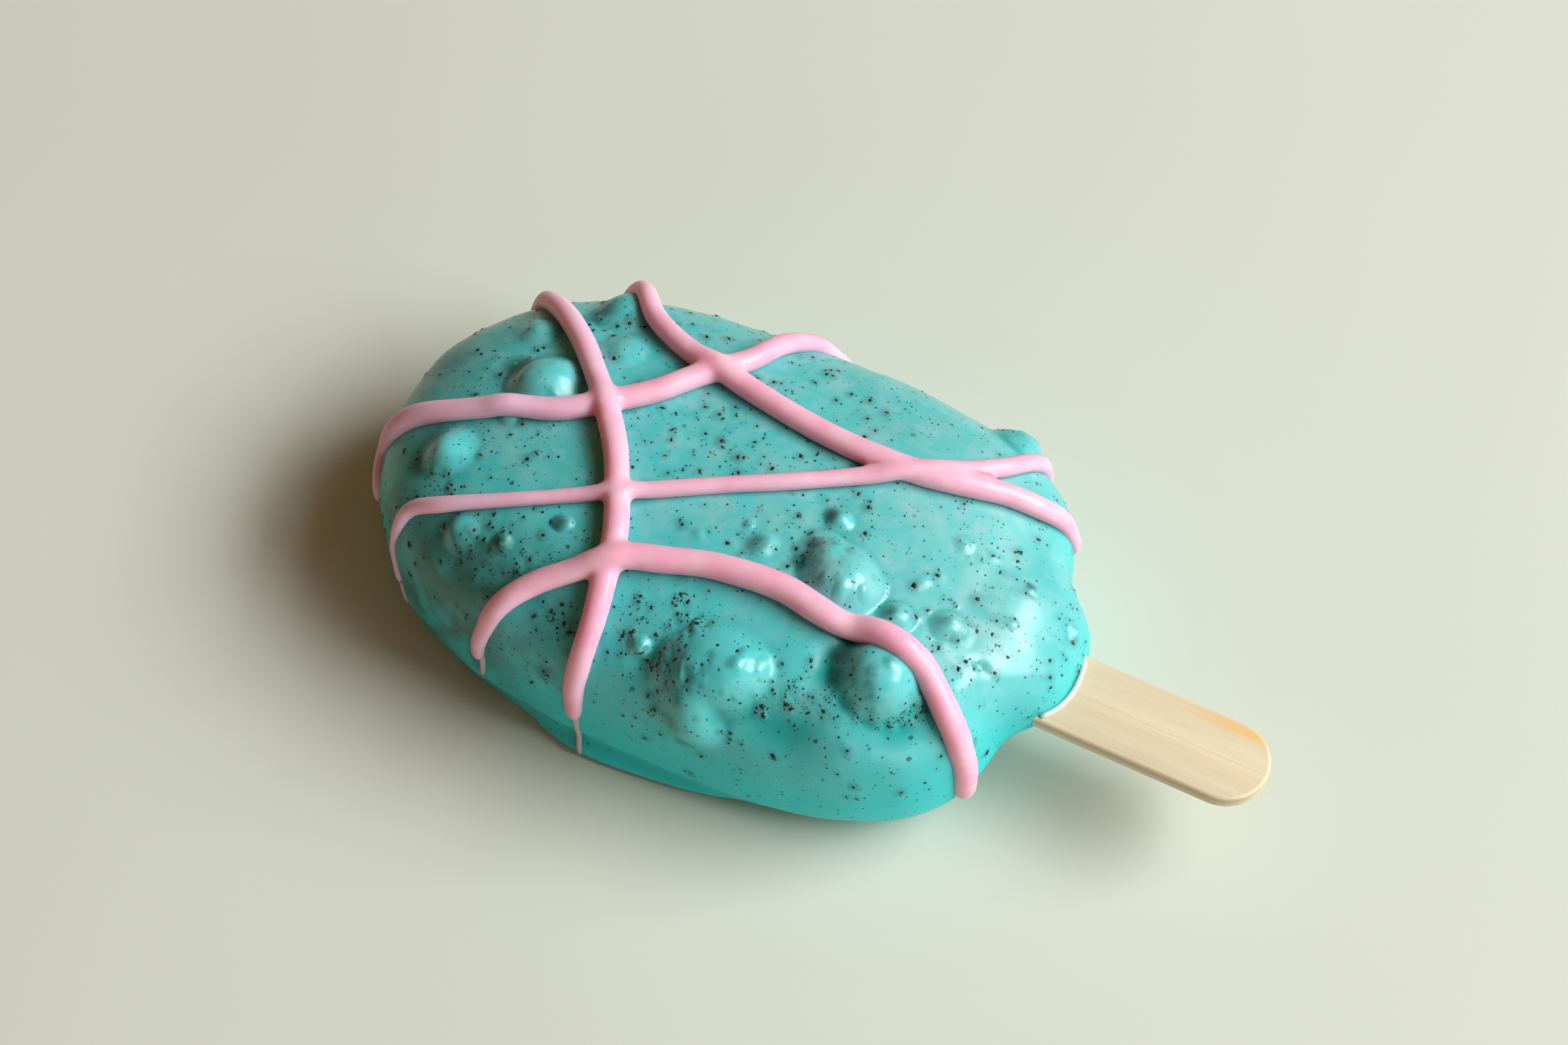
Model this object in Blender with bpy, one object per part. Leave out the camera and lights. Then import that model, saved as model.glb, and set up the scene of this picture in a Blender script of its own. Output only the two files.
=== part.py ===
"""A dipped cake bar on a flat wooden stick, lying on its flat back.

The bar is an uneven oval loaf under a thick glaze. Crumbs under the glaze show as lumps,
and five piped strands of drizzle cross it and run down its sides. Lengths are in metres,
+X runs along the bar towards the tip of the stick, and +Z is up.
"""

import math

import bmesh
import bpy
from mathutils import Matrix, Vector
from mathutils.bvhtree import BVHTree

MM = 0.001

# The bar, measured from the middle of its plan outline, on the surface that it lies on.
BACK_REACH = 39.8 * MM
FRONT_REACH = 38.9 * MM
HALF_WIDTH = 25.8 * MM
BELLY_HEIGHT = 11.0 * MM
CROWN_RISE = 14.6 * MM
BELLY_DROP = 11.3 * MM
BAR_TURN = math.radians(2.2)

# Powers of the bar's outline curves: 2 is an ellipse, and a higher one is squarer.
BACK_POWER = 2.3
FRONT_POWER = 3.6
CROWN_POWER = 2.75
BELLY_POWER = 4.0

# Where the glaze filled the corner under the near side, and the lip that pooled at its foot.
FOOT_POWER = 8.0
FOOT_BEARING = math.radians(-105)
FOOT_SPREAD = math.radians(55)
LIP_PROUD = 2.8 * MM
LIP_HEIGHT = 1.8 * MM
LIP_BEARING = math.radians(-87)
LIP_SPREAD = math.radians(24)

# The nose of glaze that ran out along the stick, and stops a little under it.
NOSE_REACH = 5.0 * MM
NOSE_HALF_WIDTH = 8.2 * MM
NOSE_ACROSS = 0.3 * MM
NOSE_FLOOR = 11.5 * MM
NOSE_DROP = 3.0 * MM
NOSE_POWER = 4
NOSE_FADE = 6

# The flat stick: its tip is round, and most of its length is inside the bar.
STICK_LENGTH = 65.0 * MM
STICK_WIDTH = 10.0 * MM
STICK_THICKNESS = 2.0 * MM
STICK_TIP = 67.6 * MM
STICK_ACROSS = -0.2 * MM
STICK_MID_HEIGHT = 12.0 * MM
STICK_EDGE = 0.35 * MM
STICK_END_SEGMENTS = 12
STICK_EDGE_SEGMENTS = 2
CLEARANCE = 0.3 * MM

# Faces along, across and up the bar. Those near a lump or the nose are split once, out to
# the first margin, and again out to the second, but only once where a lump's height is
# under BROAD of its radius.
BAR_GRID = (26, 17, 9)
SPLIT_MARGINS = (1.6 * MM, 0.7 * MM)
BROAD = 0.32

# Lumps in millimetres: (along, across, up) on the bar, radius, height, and a power that
# makes the side steeper as it grows. A height below 0 is a hollow.
LUMPS = (
    ((27.0, -13.2, 22.8), 5.6, 3.4, 2.5),
    ((18.3, -5.4, 25.0), 5.2, 2.6, 2.6),
    ((14.6, -3.0, 25.2), 3.0, 1.0, 2.2),
    ((14.8, 1.1, 25.3), 1.8, 0.9, 2.0),
    ((8.6, -5.7, 25.4), 2.1, 0.7, 2.0),
    ((10.2, -20.6, 22.0), 6.5, 2.7, 2.2),
    ((9.7, -25.0, 17.4), 4.4, 1.9, 2.0),
    ((25.4, -6.4, 23.9), 2.2, 1.1, 2.6),
    ((30.2, -4.1, 22.7), 2.1, 1.0, 2.6),
    ((-29.0, -9.0, 22.3), 3.8, 1.7, 2.0),
    ((-22.9, -17.2, 21.6), 2.6, 1.2, 2.0),
    ((-23.0, 2.8, 24.3), 4.8, 2.5, 2.4),
    ((-20.3, 17.2, 21.7), 4.6, 2.2, 2.0),
    ((-17.2, 10.6, 24.2), 3.3, 0.8, 2.0),
    ((-27.7, 9.9, 22.3), 2.9, 0.8, 2.0),
    ((26.4, 23.5, 16.8), 3.8, 2.0, 2.0),
    ((34.6, -8.7, 20.4), 3.0, 0.4, 2.0),
    ((-14.5, -22.8, 19.6), 4.5, 0.6, 2.0),
    ((19.7, -22.6, 18.8), 5.5, -0.7, 2.0),
)

# Strands in millimetres: the places on the bar's surface that each runs over, as along,
# across and up, with its radius there.
STRANDS = {
    "drizzle_back": (
        (-36.7, -12.2, 10.5, 0.8), (-37.4, -10.8, 13.0, 0.95), (-38.2, -8.2, 14.7, 1.0),
        (-37.3, -7.0, 17.6, 1.15), (-34.7, -5.6, 20.3, 1.25), (-29.9, -4.1, 22.6, 1.25),
        (-24.3, -2.1, 24.1, 1.3), (-18.9, -0.2, 24.9, 1.35), (-14.4, 3.2, 25.2, 1.35),
        (-11.1, 6.1, 25.3, 1.35), (-8.9, 8.9, 25.2, 1.35), (-6.3, 12.2, 24.8, 1.35),
        (-3.6, 15.5, 24.1, 1.3), (-1.9, 19.6, 22.3, 1.2), (1.0, 23.5, 19.0, 1.05),
        (4.6, 25.6, 12.8, 0.9),
    ),
    "drizzle_down": (
        (-31.2, 15.8, 13.8, 1.0), (-29.8, 15.2, 17.3, 1.1), (-27.7, 13.9, 20.2, 1.2),
        (-25.0, 12.1, 22.4, 1.3), (-21.5, 9.2, 23.9, 1.35), (-18.3, 6.0, 24.7, 1.35),
        (-15.0, 2.4, 25.2, 1.4), (-11.8, -1.5, 25.4, 1.45), (-9.8, -4.6, 25.4, 1.45),
        (-7.1, -9.6, 25.2, 1.45), (-5.6, -13.2, 24.7, 1.45), (-4.6, -17.5, 23.5, 1.4),
        (-4.0, -20.7, 22.0, 1.35), (-4.0, -23.4, 19.7, 1.3), (-4.3, -25.3, 16.1, 1.3),
        (-4.4, -25.9, 12.4, 1.15), (-4.6, -25.8, 8.0, 0.8),
    ),
    "drizzle_far": (
        (-22.6, 21.3, 14.3, 0.95), (-21.6, 20.3, 17.9, 1.05), (-18.7, 18.3, 21.3, 1.15),
        (-16.2, 16.2, 22.9, 1.2), (-12.8, 14.3, 24.0, 1.27), (-9.3, 12.9, 24.5, 1.3),
        (-5.7, 12.1, 24.8, 1.35), (-1.7, 11.3, 25.0, 1.35), (3.5, 10.5, 25.2, 1.33),
        (8.9, 10.0, 25.2, 1.35), (13.6, 9.8, 25.0, 1.4), (19.1, 10.2, 24.5, 1.4),
        (24.0, 11.6, 23.7, 1.4), (28.5, 13.5, 22.2, 1.3), (32.2, 14.8, 20.3, 1.25),
        (35.0, 16.3, 17.4, 1.1), (36.5, 16.9, 13.8, 0.9), (37.0, 17.0, 11.4, 0.55),
    ),
    "drizzle_thin": (
        (-30.3, -19.1, 7.8, 0.6), (-31.4, -18.3, 11.0, 0.5), (-31.5, -18.1, 13.8, 0.55),
        (-30.9, -17.4, 16.9, 0.7), (-29.3, -15.9, 19.7, 0.88), (-25.9, -15.1, 21.6, 0.97),
        (-22.2, -13.8, 23.0, 0.86), (-17.4, -11.8, 24.2, 0.85), (-11.8, -9.0, 25.1, 0.9),
        (-8.3, -7.2, 25.4, 1.0), (-4.4, -4.9, 25.5, 1.0), (2.0, -0.9, 25.6, 0.97),
        (7.3, 2.2, 25.5, 1.0), (12.6, 5.7, 25.3, 1.02), (19.0, 10.0, 24.6, 1.1),
        (23.5, 13.0, 23.6, 1.15), (26.8, 16.5, 22.1, 1.12), (28.7, 19.8, 19.9, 1.05),
        (29.7, 22.2, 16.8, 0.95), (30.3, 23.0, 13.1, 0.8),
    ),
    "drizzle_near": (
        (-17.3, -24.5, 9.6, 0.75), (-17.1, -24.5, 12.8, 0.95), (-16.3, -24.1, 16.3, 1.05),
        (-14.5, -22.1, 20.1, 1.25), (-11.7, -19.5, 22.3, 1.35), (-8.3, -17.0, 23.6, 1.4),
        (-5.8, -15.0, 24.3, 1.45), (-3.1, -13.4, 24.7, 1.5), (-0.5, -12.5, 24.8, 1.5),
        (4.4, -10.9, 25.1, 1.48), (9.2, -10.0, 25.1, 1.52), (13.6, -9.7, 25.0, 1.6),
        (17.6, -10.2, 24.7, 1.6), (20.5, -10.3, 24.3, 1.45), (23.8, -9.8, 23.9, 1.52),
        (26.8, -9.9, 23.2, 1.5), (29.9, -10.3, 22.2, 1.45), (32.2, -11.5, 21.1, 1.45),
        (34.1, -12.7, 19.7, 1.5), (36.2, -13.7, 17.3, 1.48), (37.5, -14.0, 13.5, 1.48),
        (37.7, -14.0, 10.0, 1.4), (37.4, -13.6, 6.0, 1.2),
    ),
}
STRAND_STEP = 2.3 * MM
STRAND_CORNERS = 2

# How far a strand's middle line lies above the surface where that is level, as a share of its
# radius. On steeper sides it lies lower, from TOP down to WALL, the upright share of the way
# that the surface faces. Then how it narrows at its ends, and how often its line is pulled
# taut over the hollows between lumps.
STRAND_LIFT = 0.6
TOP, WALL = 0.85, 0.3
STRAND_TAPER = 2.0 * MM
STRAND_END = 0.3
TAUT_PASSES = 4
PROBE = 9.0 * MM


def plain_finish(name, colour, roughness):
    """A plain non-metallic finish in one colour."""
    material = bpy.data.materials.new(name)
    material.use_nodes = True
    shader = material.node_tree.nodes["Principled BSDF"]
    shader.inputs["Base Color"].default_value = (*colour, 1.0)
    shader.inputs["Roughness"].default_value = roughness
    shader.inputs["Metallic"].default_value = 0.0
    return material


def turned(point, angle):
    """The point, turned about the bar's upright middle line."""
    return Matrix.Rotation(angle, 3, "Z") @ point


def plan_size(point):
    """How far out a point lies in plan: 1 on the bar's outline."""
    reach, power = (FRONT_REACH, FRONT_POWER) if point.x > 0 else (BACK_REACH, BACK_POWER)
    along = abs(point.x / reach) ** power
    across = abs(point.y / HALF_WIDTH) ** power
    return (along + across) ** (1 / power)


def share_round(point, bearing, spread, power):
    """1 where a point has this bearing from the middle, falling smoothly to 0 at the spread."""
    own = math.atan2(point.y / HALF_WIDTH, point.x / BACK_REACH)
    off = math.remainder(own - bearing, math.tau) / spread
    return (1 - abs(off) ** power) ** 2 if abs(off) < 1 else 0.0


def bar_size(point):
    """How far out a point lies from the bar's middle: 1 on its smooth surface."""
    rise = point.z - BELLY_HEIGHT
    height, power = CROWN_RISE, CROWN_POWER
    if rise < 0:
        height = BELLY_DROP
        foot = share_round(point, FOOT_BEARING, FOOT_SPREAD, 2)
        power = BELLY_POWER + (FOOT_POWER - BELLY_POWER) * foot
    return (plan_size(point) ** power + abs(rise / height) ** power) ** (1 / power)


def onto_bar(point):
    """Slide a point towards or away from the bar's middle, onto its smooth surface."""
    middle = Vector((0, 0, BELLY_HEIGHT))
    own = turned(point, -BAR_TURN)
    return turned(middle + (own - middle) / bar_size(own), BAR_TURN)


def outward(point):
    """The direction straight out of the smooth surface at a point."""
    own = turned(point, -BAR_TURN)
    step = 0.01 * MM
    slope = Vector()
    for axis in range(3):
        ahead, behind = own.copy(), own.copy()
        ahead[axis] += step
        behind[axis] -= step
        slope[axis] = bar_size(ahead) - bar_size(behind)
    return turned(slope.normalized(), BAR_TURN)


def with_nose_and_lip(point):
    """Add the nose along the stick and the lip along the base, and flatten the base."""
    own = turned(point, -BAR_TURN)
    own.z = max(own.z, 0.0)
    if own.x > 0:
        off = (own.y - NOSE_ACROSS) / NOSE_HALF_WIDTH
        under = min(0.0, own.z - NOSE_FLOOR) / NOSE_DROP
        share = math.exp(-(off**NOSE_POWER) - under**2)
        own.x += NOSE_REACH * share * plan_size(own) ** NOSE_FADE
    share = share_round(own, LIP_BEARING, LIP_SPREAD, 4) * math.exp(-((own.z / LIP_HEIGHT) ** 2))
    lip = 1 + LIP_PROUD / HALF_WIDTH * share
    return turned(Vector((own.x * lip, own.y * lip, own.z)), BAR_TURN)


def placed_lumps():
    """Each lump's middle on the smooth surface, the way it points, and its sizes in metres."""
    lumps = []
    for place, radius, height, power in LUMPS:
        middle = onto_bar(Vector(place) * MM)
        lumps.append((middle, outward(middle), radius * MM, height * MM, power))
    return lumps


def lump_rise(point, lumps):
    """How far the lumps push a point of the bar outwards."""
    push = Vector()
    for middle, axis, radius, height, power in lumps:
        offset = point - middle
        level = offset.dot(axis)
        reach = (offset - axis * level).length / radius
        if reach < 1 and abs(level) < radius:
            push += axis * height * (1 - reach**power) ** 2
    return push


def split_near(shape, spots, margin):
    """Split the edges that lie on a spot or a margin round it, and put the new points on the bar."""
    edges = []
    for edge in shape.edges:
        middle = (edge.verts[0].co + edge.verts[1].co) / 2
        if any((middle - spot).length < radius + margin for spot, radius in spots):
            edges.append(edge)
    bmesh.ops.subdivide_edges(shape, edges=edges, cuts=1, use_grid_fill=True)
    for vert in shape.verts:
        vert.co = onto_bar(vert.co)


def bar_mesh():
    """A gridded box whose points are moved out to the bar's shape, finer where it is lumpy."""
    shape = bmesh.new()
    bmesh.ops.create_cube(shape, size=2.0)
    for axis, count in enumerate(BAR_GRID):
        along = [e for e in shape.edges if abs((e.verts[0].co - e.verts[1].co)[axis]) > 1.0]
        bmesh.ops.subdivide_edges(shape, edges=along, cuts=count - 1, use_grid_fill=True)
    reach = Vector((BACK_REACH, HALF_WIDTH, CROWN_RISE))
    for vert in shape.verts:
        spread = Vector(math.tan(c * math.pi / 4) for c in vert.co)
        start = Vector(s * r for s, r in zip(spread, reach))
        start.z += BELLY_HEIGHT
        vert.co = onto_bar(turned(start, BAR_TURN))
    lumps = placed_lumps()
    nose = onto_bar(Vector((FRONT_REACH, NOSE_ACROSS, STICK_MID_HEIGHT)))
    steep = [(middle, radius) for middle, _, radius, height, _ in lumps if height > BROAD * radius]
    broad = [(middle, radius) for middle, _, radius, height, _ in lumps if height <= BROAD * radius]
    split_near(shape, [*steep, *broad, (nose, NOSE_HALF_WIDTH)], SPLIT_MARGINS[0])
    split_near(shape, [*steep, (nose, NOSE_HALF_WIDTH)], SPLIT_MARGINS[1])
    for vert in shape.verts:
        vert.co = with_nose_and_lip(vert.co) + lump_rise(vert.co, lumps)
    base = [f for f in shape.faces if all(v.co.z < 0.001 * MM for v in f.verts)]
    bmesh.ops.dissolve_faces(shape, faces=base)
    quads = [face for face in shape.faces if len(face.verts) == 4]
    bmesh.ops.triangulate(shape, faces=quads, quad_method="SHORT_EDGE")
    bmesh.ops.recalc_face_normals(shape, faces=shape.faces)
    return shape


def curve_point(before, start, end, after, share):
    """A point on the smooth curve from start to end, which the places outside them steer."""
    run = (end - before) * share
    bend = (2 * before - 5 * start + 4 * end - after) * share**2
    twist = (3 * start - before - 3 * end + after) * share**3
    return (2 * start + run + bend + twist) / 2


def smooth_route(places, step):
    """Points a step apart on a smooth curve through the places."""
    knots = [2 * places[0] - places[1], *places, 2 * places[-1] - places[-2]]
    fine = []
    for before, start, end, after in zip(knots, knots[1:], knots[2:], knots[3:]):
        count = max(2, round(4 * (end - start).length / step))
        fine.extend(curve_point(before, start, end, after, n / count) for n in range(count))
    fine.append(places[-1])
    route, run = [fine[0]], 0.0
    for last, point in zip(fine, fine[1:]):
        run += (point - last).length
        if run >= step:
            route.append(point)
            run = 0.0
    return route


def strand_route(places, surface):
    """A strand's middle line over the lumpy bar, with its radius there, thinner at the ends."""
    route = smooth_route([Vector(place) * MM for place in places], STRAND_STEP)
    feet = [onto_bar(point.to_3d()) for point in route]
    normals = [outward(foot) for foot in feet]
    heights = []
    for foot, normal in zip(feet, normals):
        hit = surface.ray_cast(foot + normal * PROBE, -normal)[0]
        heights.append((hit - foot).dot(normal) if hit else 0.0)
    for _ in range(TAUT_PASSES):
        for index in range(1, len(heights) - 1):
            middle = (heights[index - 1] + heights[index + 1]) / 2
            heights[index] = max(heights[index], middle)
    laid = []
    for point, foot, normal, height in zip(route, feet, normals, heights):
        level = min(1.0, max(0.0, (normal.z - WALL) / (TOP - WALL)))
        gap = min((foot - feet[0]).length, (foot - feet[-1]).length)
        size = point.w * math.sqrt(min(1.0, STRAND_END + gap / STRAND_TAPER))
        height += STRAND_LIFT * level**2 * (3 - 2 * level) * size
        laid.append((foot + normal * height, size))
    return laid


def strand_object(name, route, group):
    """A round tube along the route, as a mesh in the group."""
    curve = bpy.data.curves.new(name, "CURVE")
    curve.dimensions = "3D"
    curve.bevel_depth = 1.0
    curve.bevel_resolution = STRAND_CORNERS
    curve.use_fill_caps = True
    line = curve.splines.new("POLY")
    line.points.add(len(route) - 1)
    for point, (place, size) in zip(line.points, route):
        point.co = (*place, 1.0)
        point.radius = size
    tube = bpy.data.objects.new(name, curve)
    shape = bmesh.new()
    shape.from_mesh(tube.to_mesh())
    bmesh.ops.remove_doubles(shape, verts=shape.verts, dist=0.01 * MM)
    bmesh.ops.recalc_face_normals(shape, faces=shape.faces)
    bpy.data.objects.remove(tube)
    mesh_object(name, shape, group)


def stick_mesh(grow):
    """A flat bar with round ends, larger all round by grow."""
    shape = bmesh.new()
    bmesh.ops.create_cube(shape, size=1.0)
    size = Vector((STICK_LENGTH, STICK_WIDTH, STICK_THICKNESS)) + Vector((2, 2, 2)) * grow
    bmesh.ops.scale(shape, vec=size, verts=shape.verts)
    upright = [e for e in shape.edges if abs((e.verts[0].co - e.verts[1].co).z) > STICK_THICKNESS / 2]
    bmesh.ops.bevel(
        shape, geom=upright, offset=0.4999 * size.y, affect="EDGES", profile=0.5,
        segments=STICK_END_SEGMENTS, material=-1,
    )
    rims = [e for e in shape.edges if abs((e.verts[0].co - e.verts[1].co).z) < 0.001 * MM]
    if not grow:
        bmesh.ops.bevel(
            shape, geom=rims, offset=STICK_EDGE, affect="EDGES", profile=0.5,
            segments=STICK_EDGE_SEGMENTS, material=-1,
        )
    middle = Vector((STICK_TIP - STICK_LENGTH / 2, STICK_ACROSS, STICK_MID_HEIGHT))
    bmesh.ops.translate(shape, verts=shape.verts, vec=middle)
    bmesh.ops.recalc_face_normals(shape, faces=shape.faces)
    return shape


def mesh_object(name, shape, collection):
    """Turn a finished bmesh into an object in a collection."""
    mesh = bpy.data.meshes.new(name)
    shape.to_mesh(mesh)
    shape.free()
    thing = bpy.data.objects.new(name, mesh)
    collection.objects.link(thing)
    return thing


def apply_boolean(thing, operation, collection):
    """Join or cut a solid with every solid of a collection, and then remove those."""
    tool = thing.modifiers.new(operation.lower(), "BOOLEAN")
    tool.operation = operation
    tool.operand_type = "COLLECTION"
    tool.collection = collection
    tool.solver = "EXACT"
    graph = bpy.context.evaluated_depsgraph_get()
    result = bpy.data.meshes.new_from_object(thing.evaluated_get(graph))
    thing.modifiers.clear()
    thing.data = result
    for used in list(collection.objects):
        bpy.data.objects.remove(used)
    bpy.data.collections.remove(collection)


def new_collection(name):
    """A collection linked into the scene."""
    collection = bpy.data.collections.new(name)
    bpy.context.scene.collection.children.link(collection)
    return collection


def shade(thing, material, sharp_angle):
    """Give an object its finish, smooth except over sharp edges."""
    thing.data.materials.clear()
    thing.data.materials.append(material)
    thing.data.shade_smooth()
    thing.data.set_sharp_from_angle(angle=math.radians(sharp_angle))


def main():
    for thing in list(bpy.data.objects):
        bpy.data.objects.remove(thing)
    scene = bpy.context.scene.collection

    shape = bar_mesh()
    surface = BVHTree.FromBMesh(shape)
    bar = mesh_object("coated_bar", shape, scene)

    drizzle = new_collection("drizzle")
    for name, places in STRANDS.items():
        strand_object(name, strand_route(places, surface), drizzle)
    apply_boolean(bar, "UNION", drizzle)

    slot = new_collection("slot")
    mesh_object("stick_slot", stick_mesh(CLEARANCE), slot)
    apply_boolean(bar, "DIFFERENCE", slot)
    shade(bar, plain_finish("glaze", (0.13, 0.47, 0.45), 0.3), 50)

    stick = mesh_object("stick", stick_mesh(0.0), scene)
    shade(stick, plain_finish("birch", (0.8, 0.66, 0.47), 0.6), 35)

    # The two pieces are carried by one empty, so that the origin is under their middle.
    corners = [vert.co for thing in (bar, stick) for vert in thing.data.vertices]
    along = [corner.x for corner in corners]
    across = [corner.y for corner in corners]
    carrier = bpy.data.objects.new("cake_bar", None)
    scene.objects.link(carrier)
    carrier.location.x = -(min(along) + max(along)) / 2
    carrier.location.y = -(min(across) + max(across)) / 2
    bar.parent = carrier
    stick.parent = carrier
    print(f"The bar has {len(bar.data.polygons)} faces and the stick {len(stick.data.polygons)}.")


main()
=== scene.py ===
# %% [markdown]
# # A dipped cake bar, dressed in Blender
#
# The real object is a small loaf of cake on a flat wooden stick. It was dipped in a coloured
# glaze full of biscuit crumbs, laid on its back and striped with pink icing. The solids are
# already there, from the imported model. This notebook gives them their looks: a smooth lumpy
# glaze, soft strands of icing that melt together where they cross, crumbs, and a stick with a
# grain. The first cell loads the solids, and everything later is placed by them.

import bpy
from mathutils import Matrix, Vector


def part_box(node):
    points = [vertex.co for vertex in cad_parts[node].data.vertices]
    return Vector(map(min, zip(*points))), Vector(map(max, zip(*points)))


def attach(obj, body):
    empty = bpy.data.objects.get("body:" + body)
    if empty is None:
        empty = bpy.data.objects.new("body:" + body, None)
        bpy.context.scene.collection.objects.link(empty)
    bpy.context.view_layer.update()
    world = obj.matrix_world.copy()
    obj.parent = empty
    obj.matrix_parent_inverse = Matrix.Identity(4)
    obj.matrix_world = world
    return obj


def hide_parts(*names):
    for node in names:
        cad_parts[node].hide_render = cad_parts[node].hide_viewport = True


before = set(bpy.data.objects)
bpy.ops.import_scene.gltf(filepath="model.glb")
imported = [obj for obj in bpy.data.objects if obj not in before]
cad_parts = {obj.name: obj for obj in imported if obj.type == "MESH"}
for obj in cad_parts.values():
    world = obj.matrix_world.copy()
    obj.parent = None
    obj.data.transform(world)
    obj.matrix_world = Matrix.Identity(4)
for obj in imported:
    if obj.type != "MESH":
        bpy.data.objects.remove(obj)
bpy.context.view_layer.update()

# %% [markdown]
# ## One place to measure from
#
# The bar's sizes are easiest to write from its own middle, on the surface that it lies on.
# The stick has plain edges, so its box says where that middle is. Lengths are millimetres
# times MM, because Blender works in metres.

# %% Units and the bar's own middle
import math
import random
from collections import namedtuple

import bmesh
import bpy
import numpy as np
from mathutils import Matrix, Vector, kdtree, noise
from mathutils.bvhtree import BVHTree

MM = 0.001


def mm(length):
    """A length in millimetres, rounded for a print."""
    return round(length / MM, 2)


STICK_TIP = 67.6 * MM
STICK_ACROSS = -0.2 * MM
STICK_LENGTH = 65 * MM

stick_low, stick_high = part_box("stick")
BAR_PLACE = Vector((stick_high.x - STICK_TIP, (stick_low.y + stick_high.y) / 2 - STICK_ACROSS, 0.0))
print("The bar's middle is at", tuple(mm(c) for c in BAR_PLACE), "mm")

# %% [markdown]
# ## The smooth form under the lumps
#
# In plan the bar is an oval that is rounder at the back than at the stick. Seen from the side
# it bulges over a flat base. A superellipse gives both: one formula whose power runs from an
# ellipse, at 2, to a box. The function bar_size says how far out a point lies, and is 1 on the
# surface, so any point can be slid onto the surface, and the direction straight out of it is
# the way in which bar_size grows fastest.

# %% The bar's form
BACK_REACH = 39.8 * MM
FRONT_REACH = 38.9 * MM
HALF_WIDTH = 25.8 * MM
BELLY_HEIGHT = 11 * MM
CROWN_RISE = 14.6 * MM
BELLY_DROP = 11.3 * MM
BACK_POWER, FRONT_POWER, CROWN_POWER, BELLY_POWER = 2.3, 3.6, 2.75, 4.0
# The stretch of flank that is boxier below: its bearing and spread in degrees, and its power.
BOXY_FLANK = (-105, 55, 2)
BAR_TURN = math.radians(2.2)
UNTURN = Matrix.Rotation(-BAR_TURN, 3, "Z")
TURN = UNTURN.inverted()
MIDDLE = Vector((0.0, 0.0, BELLY_HEIGHT))
SLOPE_STEP = 0.01 * MM


def plan_size(point):
    """How far out a point lies in plan: 1 on the bar's outline."""
    reach, power = (FRONT_REACH, FRONT_POWER) if point.x > 0 else (BACK_REACH, BACK_POWER)
    return (abs(point.x / reach) ** power + abs(point.y / HALF_WIDTH) ** power) ** (1 / power)


def share_round(point, bearing, spread, power):
    """1 where a point has this bearing from the middle, falling smoothly to 0 at the spread."""
    own = math.atan2(point.y / HALF_WIDTH, point.x / BACK_REACH)
    off = math.remainder(own - math.radians(bearing), math.tau) / math.radians(spread)
    return (1 - abs(off) ** power) ** 2 if abs(off) < 1 else 0.0


def bar_size(point):
    """How far out a point lies from the bar's middle: 1 on its smooth surface."""
    rise = point.z - BELLY_HEIGHT
    height, power = CROWN_RISE, CROWN_POWER
    if rise < 0:
        height = BELLY_DROP
        power = BELLY_POWER * (1 + share_round(point, *BOXY_FLANK))
    return (plan_size(point) ** power + abs(rise / height) ** power) ** (1 / power)


def onto_bar(point):
    """Slide a point towards or away from the bar's middle, onto its smooth surface."""
    own = UNTURN @ point
    return TURN @ (MIDDLE + (own - MIDDLE) / bar_size(own))


def outward(point):
    """The direction straight out of the smooth surface at a point."""
    own = UNTURN @ point
    slope = Vector()
    for axis in range(3):
        ahead, behind = own.copy(), own.copy()
        ahead[axis] += SLOPE_STEP
        behind[axis] -= SLOPE_STEP
        slope[axis] = bar_size(ahead) - bar_size(behind)
    return TURN @ slope.normalized()


print("The crown is", mm(onto_bar(Vector((0, 0, 1))).z), "mm high")

# %% [markdown]
# ## Where glaze ran
#
# Wet glaze ran out along the stick as a short nose, and pooled as a thin lip where the near
# side meets the tray, with a shallow groove over it. All three only push the smooth form out
# or in, so they have no seam.

# %% The nose along the stick and the lip at the foot
NOSE_REACH = 5 * MM
NOSE_HALF_WIDTH = 8.2 * MM
NOSE_ACROSS = 0.3 * MM
NOSE_FLOOR = 11.5 * MM
NOSE_DROP = 3 * MM
NOSE_SIDE_POWER, NOSE_ROOT_POWER = 4, 6
LIP_PROUD = 2.8 * MM
LIP_HEIGHT = 1.8 * MM
GROOVE_HEIGHT = 3.4 * MM
GROOVE_WIDTH = 1.5 * MM
GROOVE_DEPTH = 0.9 * MM
# Where the lip and the groove run: bearing and spread in degrees, and power.
LIP_RUN = (-87, 24, 4)
GROOVE_RUN = (-97, 45, 2)


def with_nose_and_lip(point):
    """Add the nose along the stick and the lip and groove along the base, and flatten the base."""
    own = UNTURN @ point
    own.z = max(own.z, 0.0)
    if own.x > 0:
        off = (own.y - NOSE_ACROSS) / NOSE_HALF_WIDTH
        under = min(0.0, own.z - NOSE_FLOOR) / NOSE_DROP
        push = math.exp(-(off**NOSE_SIDE_POWER) - under**2)
        own.x += NOSE_REACH * push * plan_size(own) ** NOSE_ROOT_POWER
    up = own.z / LIP_HEIGHT
    over = (own.z - GROOVE_HEIGHT) / GROOVE_WIDTH
    lip = LIP_PROUD / HALF_WIDTH * share_round(own, *LIP_RUN) * math.exp(-(up**2))
    lip -= GROOVE_DEPTH / HALF_WIDTH * share_round(own, *GROOVE_RUN) * math.exp(-(over**2))
    return TURN @ Vector((own.x * (1 + lip), own.y * (1 + lip), own.z))


nose_end = with_nose_and_lip(onto_bar(Vector((BACK_REACH, 0.0, NOSE_FLOOR))))
print("The nose ends", mm(nose_end.x), "mm from the bar's middle")

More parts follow.
